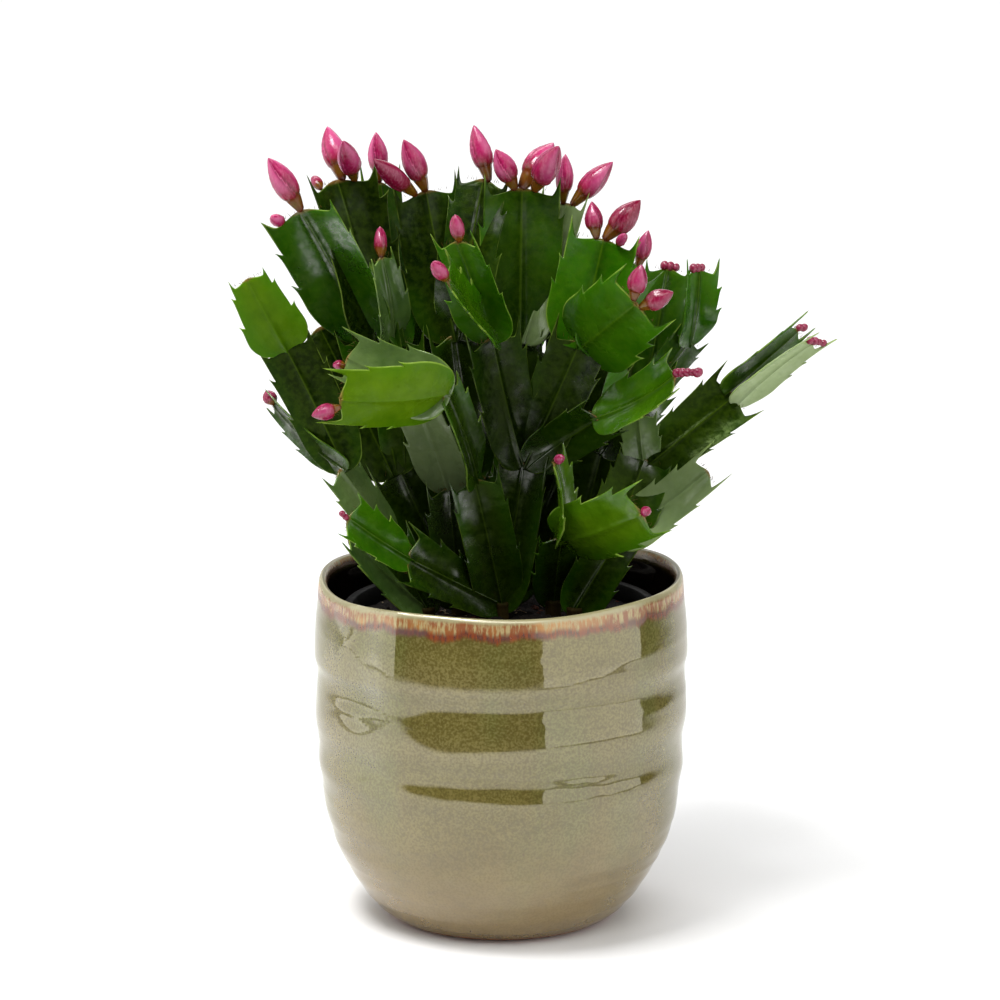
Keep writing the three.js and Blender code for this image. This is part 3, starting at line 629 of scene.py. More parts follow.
def nursery_pot():
    """A thin tapered wall with a stepped lip, turned round Z."""
    bottom = POT_FLOOR + GAP
    low_lip = NURSERY_TOP - 4
    top = NURSERY_TOP
    at_bottom, under_lip, at_top = (nursery_radius(level) for level in (bottom, low_lip, top))
    profile = [
        (0, bottom), (NURSERY_FOOT_RADIUS - 1, bottom), (nursery_radius(bottom + 1), bottom + 1),
        (under_lip, low_lip), (under_lip + NURSERY_LIP - 0.3, low_lip),
        (under_lip + NURSERY_LIP, low_lip + 0.4),
        (at_top + NURSERY_LIP, top - 0.4), (at_top + NURSERY_LIP - 0.4, top),
        (at_top - NURSERY_WALL + 0.3, top), (at_top - NURSERY_WALL, top - 0.3),
        (at_bottom - NURSERY_WALL, bottom + NURSERY_WALL), (0, bottom + NURSERY_WALL),
    ]
    radius, height = along_profile(profile, NURSERY_STEPS)
    skin = loft(turned(radius[:, None], height[:, None], round_turn(NURSERY_SIDES)))
    piece("nursery_pot_wall", [skin], PLASTIC, "plastic", "nursery_pot")


def soil_height(x, y):
    """The soil's surface: a low dome with slow waves, like the CAD solid, and finer clods."""
    r = np.hypot(x, y)
    angle = np.arctan2(y, x)
    fall = r / NURSERY_MOUTH_RADIUS
    slow = 1 - fall**2 + 0.5 * np.sin(3 * angle + r * 0.16) + 0.35 * np.sin(5 * angle - r * 0.23)
    clods = 0.5 * np.sin(x * 0.9 + 1.3 * np.sin(y * 0.7)) * np.sin(y * 0.8 + 1.1 * np.sin(x * 0.6))
    fine = 0.3 * np.sin(x * 2.3 + 2 * np.sin(y * 1.9)) * np.sin(y * 2.6 + 2 * np.sin(x * 1.7))
    return SOIL_TOP + SOIL_RELIEF * slow + clods + fine


def crumb(centre, size, turn, kind, seed):
    """A lumpy crumb: a ball of 5 rows whose radius waves with both angles, squeezed to its three sizes."""
    rise = np.linspace(0.12, np.pi - 0.12, 5)[:, None]
    angle = round_turn(7)
    lump = 1 + 0.22 * np.sin(3 * angle + seed) * np.sin(2 * rise + seed * 1.7)
    ball = turned(lump * np.sin(rise), lump * np.cos(rise), angle) * size
    c, s = math.cos(turn), math.sin(turn)
    spun = ball @ np.array([[c, s, 0], [-s, c, 0], [0, 0, 1]])
    return loft(spun + centre, kind=kind)


def root_thread(x, y, heading, length, seed):
    """A thin root lying on the soil: a tube of 5 sides along a wandering line that follows the surface."""
    t = np.linspace(0, 1, THREAD_STEPS)
    bend = heading + 0.9 * np.sin(t * 5 + seed) + 0.5 * np.sin(t * 11 + 2 * seed)
    x = x + np.cumsum(np.cos(bend)) * length / THREAD_STEPS
    y = y + np.cumsum(np.sin(bend)) * length / THREAD_STEPS
    z = soil_height(x, y) + THREAD_ABOVE
    ring = round_turn(5)
    side = np.stack([-np.sin(bend), np.cos(bend)], axis=-1)
    thick = THREAD_RADIUS * (1 - 0.5 * t)[:, None]
    rows = np.stack([
        x[:, None] + side[:, :1] * np.cos(ring) * thick,
        y[:, None] + side[:, 1:] * np.cos(ring) * thick,
        z[:, None] + np.sin(ring) * thick,
    ], axis=-1)
    return loft(rows, kind=2.0)


def soil_ball():
    """The filled soil: its outside under the surface is plain, its top follows soil_height, with crumbs of
    bark and grit and a few root threads on it."""
    bottom = POT_FLOOR + 2 * GAP + NURSERY_WALL
    clear = NURSERY_WALL + 3 * GAP
    angle = round_turn(SOIL_SIDES)
    low = nursery_radius(bottom) - clear
    high = nursery_radius(SOIL_TOP) - clear
    wall = [turned(np.array([[low * 0.5], [low]]), np.array([[bottom], [bottom]]), angle)]
    wall.append(turned(np.array([[high]]), np.array([[SOIL_TOP - 3]]), angle))
    radii = high * np.linspace(1, 0.01, SOIL_STEPS)[:, None]
    top = turned(radii, 0.0, angle)
    top[..., 2] = soil_height(top[..., 0], top[..., 1])
    skins = [loft(np.concatenate([*wall, top]), kind=0.0)]
    chance = np.random.RandomState(SOIL_SEED)

    def spot(reach):
        """A drawn place within reach of the axis, and its bearing."""
        away = reach * math.sqrt(chance.rand())
        bearing = chance.rand() * 2 * math.pi
        return away * math.cos(bearing), away * math.sin(bearing), bearing

    for k in range(CRUMBS):
        x, y, _ = spot(high * 0.97)
        kind = chance.choice([0.0, 0.0, 0.0, 1.0, 1.0, 2.0])
        size = (0.6 + 1.7 * chance.rand() ** 2) * np.array([1.0 + 0.8 * chance.rand(), 0.8, 0.5])
        if kind == 2.0:
            size *= 0.5
        centre = np.array([x, y, float(soil_height(x, y)) + 0.1 * size[2]])
        skins.append(crumb(centre, size, chance.rand() * 6.3, kind, k))
    for k in range(ROOT_THREADS):
        x, y, bearing = spot(high * 0.85)
        inward = bearing + math.pi + spread(k + 0.5, 1.2)
        skins.append(root_thread(x, y, inward, 8 + 12 * chance.rand(), k * 1.3))
    piece("soil_surface", skins, PEAT, "peat", "soil")


# Stem segments

# Half of a segment's outline as curves from its neck to the middle of its blunt tip. Each curve: the two
# handles and the end as (share of length, share of half width), points along it, and where an inner line
# and the midrib end beside it. Two forward teeth and a long horn stand out of it.
NECK = (0.0, 0.16)
INNER_NECK = (0.0, 0.14)
INNER_SHARE = 0.86
MARGIN_CURVES = [
    ((0.0, 0.42), (0.03, 0.64), (0.09, 0.75), 7, (0.1, 0.65), 0.1),
    ((0.14, 0.85), (0.19, 0.95), (0.27, 0.98), 6, (0.27, 0.85), 0.28),
    ((0.38, 1.02), (0.47, 0.97), (0.54, 1.07), 8, (0.45, 0.88), 0.46),
    ((0.52, 1.02), (0.495, 0.98), (0.495, 0.95), 5, (0.5, 0.86), 0.5),
    ((0.6, 1.01), (0.74, 0.93), (0.81, 1.03), 8, (0.72, 0.84), 0.71),
    ((0.79, 0.98), (0.77, 0.95), (0.77, 0.91), 5, (0.77, 0.8), 0.75),
    ((0.84, 0.94), (0.9, 0.92), (0.96, 0.94), 10, (0.885, 0.74), 0.9),
    ((0.955, 0.88), (0.93, 0.8), (0.925, 0.72), 8, (0.91, 0.62), 0.93),
    ((0.925, 0.48), (0.97, 0.25), (0.97, 0.001), 9, (0.955, 0.001), 0.97),
]
TOOTH_CURVES = (2, 4)
NOTCH_CURVES = (3, 5)
HORN_CURVE = 6
HORN_REACH = 0.15
HORN_SPREAD = 0.03
TOOTH_REACH = 0.05
TOOTH_SPREAD = 0.05
NOTCH_DEPTH = 0.07
FACE_STEPS = np.array([0.0, 0.035, 0.075, 0.13, 0.22, 0.36, 0.5, 0.64, 0.78, 0.88, 0.95, 0.985])
# Half width of the midrib as a share, and where along a segment its blunt tip starts
RIB_SHARE = 0.085
BLUNT_FROM = 0.87
# What grows on from a tip stands this far along it, and this share of its half width at most to the side. The
# real edge lies further on by a share of the length, and falls back towards the sides.
TIP_AT = 0.96
TIP_SPAN = 0.6
TIP_EDGE = 0.01
TIP_FALL = 0.027
BRISTLES = 11
BRISTLE_FOOT = 0.13
BRISTLE_POINT = 0.02


def margin_line(segment, side):
    """Points of one margin, each curve a cubic between its ends, beside them an inner line and the midrib:
    pairs of shares of length and half width. Draws of its own slide its teeth, jag makes them deeper, horn
    lengthens the horn, and taper narrows the tip and broadens the foot."""
    seed = segment["seed"]
    slides = (spread(seed + side * 3.1, TOOTH_SPREAD), spread(seed + side * 5.3, TOOTH_SPREAD))
    horn = HORN_REACH * segment["horn"] + spread(seed + side * 7.7, HORN_SPREAD)
    jag = draw(seed + 0.77)
    start = np.array(NECK)
    inner_start = np.array(INNER_NECK)
    rib_start = 0.0
    before = np.zeros(2)
    outer = []
    inner = []
    ribs = []
    for k, (first, second, end, steps, inner_end, rib) in enumerate(MARGIN_CURVES):
        moved = np.zeros(2)
        if k in TOOTH_CURVES:
            moved = np.array([slides[TOOTH_CURVES.index(k)], jag * TOOTH_REACH])
        elif k in NOTCH_CURVES:
            moved = np.array([slides[NOTCH_CURVES.index(k)], -jag * NOTCH_DEPTH])
        elif k == HORN_CURVE:
            moved = np.array([horn, 0.0])
        stop = np.array(end) + moved
        one = np.array(first) + before * (0.4 if k == HORN_CURVE + 1 else 1)
        two = np.array(second) + moved * ((0.35, 1) if k == HORN_CURVE else (1, 0.5))
        slid = moved[0] if k != HORN_CURVE else 0.0
        inner_stop = np.array(inner_end) + (slid, 0)
        t = np.linspace(0, 1, steps, endpoint=False)[:, None]
        outer.append((1 - t)**3 * start + 3 * (1 - t)**2 * t * one + 3 * (1 - t) * t**2 * two + t**3 * stop)
        inner.append(inner_start + (inner_stop - inner_start) * t)
        ribs.append(rib_start + (rib - rib_start) * t[:, 0])
        start, inner_start, rib_start, before = stop, inner_stop, rib, moved
    outer = np.concatenate([*outer, [start]])
    inner = np.concatenate([*inner, [inner_start]])
    for line in (outer, inner):
        line[:, 1] *= 1 + segment["taper"] * (0.5 - line[:, 0])
    return outer, inner, np.append(np.concatenate(ribs), rib_start)


def unit(vector):
    return vector / np.linalg.norm(vector)


def segment_frame(base, tip, reference, turn):
    """The right-handed frame of a segment: along it, square to its face, and across it."""
    along = tip - base
    length = np.linalg.norm(along)
    along = along / length
    flat = unit(reference - along * (reference @ along))
    angle = math.radians(turn)
    facing = flat * math.cos(angle) + np.cross(along, flat) * math.sin(angle)
    return dict(base=base, length=length, along=along, facing=facing, across=np.cross(along, facing))


def on_segment(segment, s, w):
    """Points of the middle surface: arched along the length, cupped across the width and slightly twisted."""
    s, w = np.broadcast_arrays(np.asarray(s, dtype=float), np.asarray(w, dtype=float))
    lift = segment["arch"] * 4 * s * (1 - s) + segment["cup"] * w**2 * np.minimum(1, 3 * s)
    lift = lift + segment["twist"] * (s - 0.5) * w
    axes = segment["frame"]
    return (
        axes["base"] + axes["along"] * (s * axes["length"])[..., None]
        + axes["across"] * (w * segment["width"] / 2)[..., None] + axes["facing"] * lift[..., None]
    )


def deep_inside(points):
    """How deep points lie in the bush, for the painted shade there: 1 up to the inner share of its egg,
    falling to 0 at the outer.
    """
    away = np.linalg.norm((points - BUSH_MIDDLE) / BUSH_REACH, axis=-1)
    return np.clip((BUSH_OUTER - away) / (BUSH_OUTER - BUSH_INNER), 0, 1)


def segment_skin(segment):
    """A closed skin. Straight stretches join the midrib to the inner line and that to the margin, and
    thickness falls from the raised midrib to the thin edge as a bell curve at the rib plus a square fall
    over the blade. The skin runs round each station: out over the front of one half, back over its rear,
    and the same over the other half."""
    whole = np.append(FACE_STEPS, 1.0)
    quarters = ((1, 1, whole), (1, -1, FACE_STEPS[::-1]), (-1, -1, whole[1:]), (-1, 1, FACE_STEPS[:0:-1]))
    place, half, margins, reaches = [], [], [], []
    for side, front, steps in quarters:
        outer, inner, rib = margin_line(segment, side)
        v = steps[None, :]
        rib = rib[:, None]
        to_inner = np.minimum(v / INNER_SHARE, 1)
        to_outer = np.maximum(v - INNER_SHARE, 0) / (1 - INNER_SHARE)
        along = rib + (inner[:, :1] - rib) * to_inner + (outer[:, :1] - inner[:, :1]) * to_outer
        out = inner[:, 1:] * to_inner + (outer[:, 1:] - inner[:, 1:]) * to_outer
        crest = RIB_THICKNESS_BASE + (RIB_THICKNESS_TIP - RIB_THICKNESS_BASE) * rib
        fall = 0.5 * (1 - v)**2 + 0.5 * np.exp(-((v / RIB_SHARE) ** 2))
        thick = EDGE_THICKNESS + (crest - EDGE_THICKNESS) * fall
        thick = np.where(v == 1.0, 0.0, thick) * np.where(v > 0.98, 0.8, 1.0)
        place.append(on_segment(segment, along, side * out))
        half.append(thick / 2 * front)
        margins.append(np.broadcast_to(v, along.shape))
        reaches.append(along)
    place, half, margin, reach = (np.concatenate(part, axis=1) for part in (place, half, margins, reaches))
    points = place + segment["frame"]["facing"] * half[..., None]
    blunt = np.linspace(0, 1, len(points))[:, None] > BLUNT_FROM
    same = {name: segment[name] for name in ("age", "bloom", "shine")}
    return loft(points, margin=margin, reach=reach, blunt=blunt, wood=0.0, core=deep_inside(points), **same)


# The plant, one cutting after another. Each row: name, what it grows from, place along that tip's edge from
# -1 to 1, then where its own tip is on the viewer's board (across, height, depth), its width, how far its
# face is turned from the viewer in degrees, its age, 0 fresh and 1 old, past 1 up to 1.5 nearly black as
# painted shade, and its grey bloom with painted sheen, palest past 1 as a painted reflection.
CUTTINGS = {
    "cutting_centre": ((0, -3), [
        ("low_left", "root", 0, -37, 140, -30, 20, 24, 1.1, 0),
        ("low_left_young", "low_left", 0, -59, 155, -46, 17, 28, 0.35, 0),
        ("mid_left", "root", 0, -11, 171, -15, 21, 12, 1, 0),
        ("fan_left", "mid_left", 0, -22, 204, -34, 19, 58, 0.9, 0),
        ("bright_left", "fan_left", 0.1, -63, 200, -56, 26, -30, 0, 0),
        ("pale_left", "fan_left", -0.3, -60, 216, -28, 25, 18, 0.6, 0.9),
        ("mid", "root", 0, 9, 178, -4, 20, -10, 1, 0),
        ("tall_mid", "mid", -0.2, -4, 225, -15, 23, 22, 1.3, 0),
        ("young_mid", "tall_mid", 0, -17, 261, -35, 21, -25, 0.35, 0),
        ("reaching_mid", "tall_mid", 0.3, -21, 246, -58, 19, 62, 0.3, 0),
        ("tall_right", "mid", 0.2, 31, 223, -11, 24, -14, 1.15, 0),
        ("crown_right", "tall_right", -0.1, 39.5, 262, -4, 30, -12, 0.42, 0),
        ("broad_right", "tall_right", 0.2, 52.5, 237, -44, 33, 4, 0.35, 0),
        ("behind_right", "tall_right", 0.4, 53, 251, 10, 20, 34, 0.5, 0),
        ("low_branch", "mid", 0.5, 38, 193, -17, 20, 22, 0.8, 0),
        ("beaded_right", "low_branch", 0, 67, 209, -29, 21, -40, 0.3, 0),
    ]),
    "cutting_left": ((-16, 6), [
        ("wide_low", "root", 0, -40, 176, -1, 24, 14, 1, 0),
        ("shoulder", "wide_low", -0.1, -51, 226, 3, 25, -8, 0.95, 0),
        ("glossy_outer", "shoulder", -0.1, -77, 273, -16, 31, -24, 0.65, 0),
        ("grooved", "shoulder", 0.2, -63.5, 285, 8, 30, 36, 1.4, 0),
        ("dark_outer", "wide_low", -0.5, -70, 229, 10, 25, 10, 1.4, 0),
        ("inner", "wide_low", 0.4, -39, 224, 5, 20, 6, 1, 0),
        ("slim_edge", "inner", -0.5, -46, 255, -11, 15, 42, 0.5, 0.6),
        ("tall_behind", "inner", 0.2, -46.5, 284.5, 24, 22, 48, 0.7, 0),
        ("slim_low", "root", 0, -20, 168, -6, 19, 0, 1, 0.2),
        ("sheen", "slim_low", 0, -32, 199, -20, 22, -32, 0.8, 1.15),
    ]),
    "cutting_left_low": ((-28, -12), [
        ("pale_low", "root", 0, -59, 149, -29, 18, 58, 0.6, 0.6),
        ("stub_left", "root", 0, -43, 147, -13, 18, 10, 1, 0),
        ("grey_left", "stub_left", 0, -62, 174, -23, 20, 42, 0.8, 0.7),
        ("long_left", "grey_left", 0.5, -83, 222, -22, 23, -14, 1.4, 0),
        ("round_left", "long_left", -0.05, -97, 246.5, -31, 21, -6, 0.1, 0),
        ("toothed_left", "grey_left", 0.4, -87, 199, -2, 12, -50, 1.1, 0),
    ]),
    "cutting_crown": ((2, 16), [
        ("crown_low_left", "root", 0, -11, 172, 14, 20, 16, 1, 0),
        ("crown_mid_left", "crown_low_left", 0, -18.5, 226, 7.5, 21, 14, 1, 0),
        ("big_dark", "crown_mid_left", 0.05, -29, 281, 14, 28, 6, 1.2, 0),
        ("dark_behind", "crown_mid_left", 0.4, -6, 285.5, 18, 23, -12, 1.3, 0),
        ("core_left", "crown_low_left", -0.4, -26, 236, 28, 27, 8, 1, 0),
        ("crown_low", "root", 0, 10, 176, 12, 20, -10, 1, 0),
        ("crown_mid", "crown_low", 0, 7, 225, 9, 20, -8, 1, 0),
        ("big_centre", "crown_mid", 0, 8, 282, 12, 33, 4, 0.8, 0),
        ("silver_behind", "crown_mid", 0.5, 26, 276, 25, 22, -30, 0.8, 1.1),
        ("core_low", "root", 0, 22, 173, 17, 24, -14, 1, 0),
        ("core_right", "core_low", 0, 30, 227, 18, 26, -6, 1, 0),
    ]),
    "cutting_right": ((20, 0), [
        ("right_low", "root", 0, 23, 148, -20, 18, 12, 0.9, 0),
        ("right_bright", "right_low", 0.2, 55, 157, -50, 27, 26, 0.16, 0),
        ("right_edge", "right_low", -0.2, 20, 177, -33, 17, 72, 0.15, 0),
        ("right_rise", "root", 0, 32, 154, 4, 18, 0, 1, 0),
        ("right_mid", "right_rise", 0, 39, 182, 3, 22, -6, 1, 0),
        ("right_upper", "right_mid", 0, 58, 206, 12, 22, -10, 1, 0),
        ("right_small", "right_upper", 0.2, 72, 223, 13, 18, 42, 0.8, 0),
        ("right_tall", "right_small", 0, 75, 250, 10, 17, 40, 0.6, 0),
        ("right_behind", "right_upper", -0.3, 64, 251, 26, 20, -10, 0.7, 0),
    ]),
    "cutting_right_front": ((28, -12), [
        ("front_low", "root", 0, 46, 149, -16, 19, -6, 1, 0),
        ("silver_low", "front_low", 0.1, 80, 173, -19, 19, -22, 0.5, 1.15),
        ("front_mid", "front_low", -0.3, 55, 178, -6, 24, 2, 1, 0),
        ("far_right", "front_mid", 0.4, 90, 202, -2, 21, -8, 1.25, 0),
        ("far_upper", "far_right", -0.6, 113.5, 227, 4, 15, 50, 0.8, 0),
        ("far_pale", "far_right", 0.4, 119, 222, -16, 13, 48, 0.6, 1.35),
        ("pale_scrap", "front_mid", -0.1, 52, 194, -10, 15, 4, 0.7, 0.7),
    ]),
}

# Segments whose wax is polished or dull, from 0 to 1
SHINE = {
    "glossy_outer": 1.0, "grooved": 0.1, "big_dark": 0.1, "big_centre": 0.2, "dark_outer": 0.0,
    "round_left": 0.0, "bright_left": 0.08, "slim_edge": 0.8, "broad_right": 0.15, "crown_right": 0.5,
    "shoulder": 0.0, "core_left": 0.7, "young_mid": 0.15, "sheen": 0.9, "tall_mid": 0.3, "far_pale": 0.4,
    "right_bright": 0.5, "long_left": 0.0, "far_right": 0.0, "mid": 0.8, "front_mid": 0.8, "low_branch": 0.9,
    "slim_low": 0.9, "tall_right": 0.35, "core_right": 0.6,
}

# Segments whose bend shows: how far they arch along their length and cup across it, towards their face
BENDS = {
    "glossy_outer": (-3, 5), "grooved": (2, 6), "bright_left": (3.5, -2.5), "pale_left": (-4, 4),
    "broad_right": (2, -2), "beaded_right": (-3, 4), "right_bright": (3, -2), "crown_right": (-2, 3),
    "big_centre": (-1.5, 2.5), "big_dark": (-2, 1), "young_mid": (-2, 4), "round_left": (1.5, -1.5),
    "silver_low": (-2, 3), "tall_mid": (-2, 3), "wide_low": (-2, 3),
}

# Segments whose outline shows: how much they taper to their tip, and how long their horns are, 1 being usual
SHAPES = {
    "round_left": (0.6, 0.3), "glossy_outer": (0.05, 0.4), "big_dark": (0.1, 0.7), "big_centre": (0.12, 0.5),
    "crown_right": (0.1, 0.9), "broad_right": (0.2, 1), "bright_left": (0.25, 1), "pale_left": (0.3, 0.8),
    "right_tall": (0.2, 1.3), "right_behind": (0.1, 0.6), "dark_behind": (0.1, 0.6), "far_upper": (0.3, 1.3),
    "far_pale": (0.2, 1.3), "slim_edge": (0.7, 0.4), "young_mid": (0.3, 1), "right_bright": (0.2, 0.9),
    "silver_low": (0.15, 1.3), "far_right": (-0.3, 1), "grooved": (-0.1, 0.4), "dark_outer": (0.1, 1),
    "low_left": (-0.5, 0.8),
}

# The growth behind, which the viewer doesn't see: where it stands and the bearings of its branches, then the
# length, rise in degrees and age of the segments at each level, and how far and how often they fork
BACK_ROOT = (2, 32)
BACK_BEARINGS = [150, 92, 34]
BACK_LENGTHS = [46, 44, 40]
BACK_RISES = [60, 64, 50]
BACK_AGES = [1.0, 0.85, 0.45]
BACK_WIDTH = 25
BACK_FORK = 24
BACK_FORK_CHANCE = 0.15


def root_top(root):
    return np.array([root[0], root[1], SOIL_TOP + STUB_STANDS])


def tip_point(segment, place):
    """A point on a segment's blunt tip, at a place along its edge from -1 to 1."""
    return on_segment(segment, TIP_AT, place * TIP_SPAN)


def bud_seat(segment, place, reach):
    axes = segment["frame"]
    to_edge = (TIP_EDGE - TIP_FALL * abs(place)) * axes["length"]
    return tip_point(segment, place) + axes["along"] * (to_edge + GAP + reach)


def segment_at(name, base, tip, width, reference, turn, seed, age, bloom):
    axes = segment_frame(base, tip, reference, turn)
    axes["base"] = axes["base"] - axes["along"] * NECK_SUNK
    axes["length"] += NECK_SUNK
    arch, cup = BENDS.get(name, (spread(seed + 0.3, 0.06) * axes["length"], 2 + spread(seed + 0.6, 2.6)))
    taper, horn = SHAPES.get(name, (spread(seed + 0.45, 0.16), 0.35 + 0.8 * draw(seed + 0.35)))
    shine = SHINE.get(name, draw(seed + 0.15))
    return dict(
        frame=axes, width=width, seed=seed, age=age, bloom=bloom, shine=shine,
        arch=arch, cup=cup, twist=spread(seed + 0.9, 3), taper=taper, horn=horn,
    )


def drawn_cutting(root, rows, order):
    segments = {}
    for k, (name, source, place, across, height, depth, width, turn, age, bloom) in enumerate(rows):
        base = root_top(root) if source == "root" else tip_point(segments[source], place)
        tip = from_board(across, height, depth)
        segments[name] = segment_at(name, base, tip, width, -LOOK, turn, order * 100 + k, age, bloom)
    return segments


def ruled_cutting(root, bearings, order):
    """One branch for each bearing rises from the foot, forks and leans further out at each joint."""
    segments = {}

    def grow(base, level, bearing, seed):
        rise = math.radians(BACK_RISES[level] + spread(seed + 0.1, 6))
        heading = math.radians(bearing)
        outward = np.array([math.cos(heading), math.sin(heading), 0.0])
        way = outward * math.cos(rise)
        way[2] = math.sin(rise)
        tip = base + way * BACK_LENGTHS[level] * (1 + spread(seed + 0.2, 0.08))
        width = BACK_WIDTH + spread(seed + 0.4, 3)
        age = BACK_AGES[level] + spread(seed + 0.55, 0.1)
        segment = segment_at("", base, tip, width, outward, spread(seed + 0.5, 26), seed, age, 0.0)
        segments[f"back_{seed}"] = segment
        if level == len(BACK_LENGTHS) - 1:
            return
        forked = level == 0 or draw(seed + 0.7) < BACK_FORK_CHANCE
        forks = [-1, 1] if forked else [spread(seed + 0.8, 0.4)]
        for k, fork in enumerate(forks):
            grow(tip_point(segment, fork * 0.5), level + 1, bearing - fork * BACK_FORK, seed * 3 + k)

    for k, bearing in enumerate(bearings):
        grow(root_top(root), 0, bearing, order * 100 + k * 7)
    return segments


def woody_foot(root):
    """The corky stem between the soil and the first segments: a tube whose radius waves all over."""
    height = np.linspace(SOIL_TOP - 3, SOIL_TOP + STUB_STANDS + 1.5, 14)[:, None]
    angle = round_turn(24)
    radius = STUB_RADIUS * (0.93 + 0.06 * np.sin(5 * angle + height * 0.3) + 0.04 * np.sin(height * 2.6))
    rows = turned(radius, height, angle) + np.array([root[0], root[1], 0.0])
    # The foot stands in the painted shade deep in the bush
    return loft(rows, age=1.0, bloom=0.0, margin=0.5, reach=0.5, blunt=0.0, wood=1.0, shine=0.0, core=0.6)


def bristles(segment):
    """Short pale bristles along the blunt tip: slim three-sided spikes, each leaning its own way."""
    axes = segment["frame"]
    seed = segment["seed"]
    turn = round_turn(3).T
    looks = dict(age=1.0, bloom=0.0, margin=0.5, reach=1.0, blunt=1.0, wood=0.6, shine=0.0, core=0.0)
    skins = []
    for k in range(BRISTLES):
        place = -0.9 + 1.8 * k / (BRISTLES - 1) + spread(seed + k * 1.37, 0.08)
        foot = tip_point(segment, place) - axes["along"] * 0.3
        lean = axes["across"] * spread(seed + k * 2.11, 0.7) + axes["facing"] * spread(seed + k * 3.7, 0.6)
        way = unit(axes["along"] + lean)
        length = 1.0 + 1.3 * draw(seed + k * 4.3)
        side = unit(np.cross(way, axes["facing"] + 0.1))
        ring = np.cos(turn) * side + np.sin(turn) * np.cross(way, side)
        ends = [foot + BRISTLE_FOOT * ring, foot + way * length + BRISTLE_POINT * ring]
        skins.append(loft(np.stack(ends), **looks))
    return skins


def cutting_piece(name, root, segments):
    skins = [woody_foot(root)]
    for segment in segments.values():
        skins.append(segment_skin(segment))
        skins += bristles(segment)
    piece(f"{name}_stems", skins, STEM, "stem", name)


# Flower buds

# The outline of a bud: share of length and share of radius, the narrow ovary first, then the closed petals
BUD_OUTLINE = [
    (0, 0.0), (0.005, 0.2), (0.03, 0.32), (0.12, 0.46), (0.22, 0.6), (0.27, 0.67), (0.31, 0.82), (0.37, 0.93),
    (0.46, 1.0), (0.58, 0.99), (0.7, 0.85), (0.8, 0.65), (0.89, 0.42), (0.96, 0.2), (1.0, 0.02),
]
SMALL_BUD_OUTLINE = [
    (0, 0.0), (0.01, 0.3), (0.1, 0.5), (0.25, 0.82), (0.4, 0.98), (0.6, 0.97), (0.78, 0.76), (0.9, 0.48),
    (1.0, 0.02),
]
BUD_FULLNESS = 0.86
SMALL_BUD_GIRTH = 7.0
PETALS = 3
PETAL_WIND = 0.42
PETAL_STEP = 0.14
PETAL_EDGE = 0.93
BUD_SUNK = 0.8

# Single buds: the segment and the place along its tip's edge, then where the bud's point is on the viewer's
# board (across, height, depth), its girth and how flushed with magenta it is
BUDS = [
    ("glossy_outer", 0, -88.5, 291.5, -20, 11, 0.2),
    ("glossy_outer", -0.8, -87.5, 268.5, -21, 5.6, 0.2),
    ("grooved", 0.3, -66, 303.5, 18, 11, 0.1),
    ("grooved", 0.8, -60, 298, -5, 10, 0.3),
    ("grooved", -0.9, -71.5, 284.5, 8, 5, 0.7),
    ("tall_behind", 0, -47.5, 301.3, 22, 9, 0.0),
    ("big_dark", -0.45, -48.5, 291, -4, 9, 0.9),
    ("big_dark", 0, -37, 298.5, 8, 10.5, 0.4),
    ("slim_edge", 0, -46, 265.5, -5, 6, 0.6),
    ("young_mid", 0.1, -17.5, 270, -38, 6.5, 0.5),
    ("reaching_mid", 0, -26, 252, -63, 6.6, 0.4),
    ("dark_behind", 0.3, -10.3, 304, 19, 9.6, 0.2),
    ("big_centre", -0.25, -2, 294.8, 8, 10, 0.3),
    ("big_centre", -0.05, 20, 297.3, 23, 12, 0.1),
    ("big_centre", 0.45, 22, 296, -3, 11.5, 0.4),
    ("silver_behind", -0.3, 24.5, 293, 24, 8, 0.1),
    ("silver_behind", 0.3, 42.5, 290, 22, 10, 0.3),
    ("crown_right", -0.3, 34.5, 275, 0, 8, 0.6),
    ("crown_right", 0, 53, 275.5, -3, 11, 1.0),
    ("crown_right", 0.6, 47.5, 262.5, -13, 4.6, 0.2),
    ("behind_right", 0, 56, 264, 8, 7.4, 0.3),
    ("broad_right", -0.15, 53.5, 251, -45, 8.6, 0.6),
    ("broad_right", 0.2, 65.5, 240.5, -47, 8.6, 0.9),
    ("bright_left", -0.4, -72, 193.5, -60, 7, 0.5),
    ("pale_left", -0.4, -64, 213, -28, 4.6, 0.5),
    ("toothed_left", 0, -89.5, 203, -2, 6.6, 0.8),
    ("right_edge", 0.2, 23.5, 178, -37, 4.4, 0.6),
    ("right_bright", 0, 56.5, 158, -53.5, 4.4, 0.7),
]

# Rows of beads, the youngest buds, at a tip: the segment, the first bead's place, how many, bead girth, and
# the row's heading in degrees from the tip's edge, 90 being straight out
BEADS = [
    ("beaded_right", -0.2, 5, 3.2, 62),
    ("right_behind", -0.3, 3, 3, 0),
    ("right_tall", -0.5, 3, 2.8, 0),
    ("far_upper", 0, 2, 2.8, 40),
    ("far_pale", -0.4, 4, 2.7, 15),
    ("low_left_young", 0, 2, 2.6, 80),
]
# Shares of a bead's girth: the step from bead to bead, its half length, and how far out the first one sits
BEAD_SPACING = 0.75
BEAD_HALF = 0.58
BEAD_OUT = 0.44
BEAD_SUNK = 0.4


def round_line(middle, way, radius, angle):
    """Rings of points round the line through the middles, square to its way."""
    side = unit(np.cross(way, [0.31, 0.92, 0.23]))
    other = np.cross(way, side)
    return middle + side * (radius * np.cos(angle))[..., None] + other * (radius * np.sin(angle))[..., None]


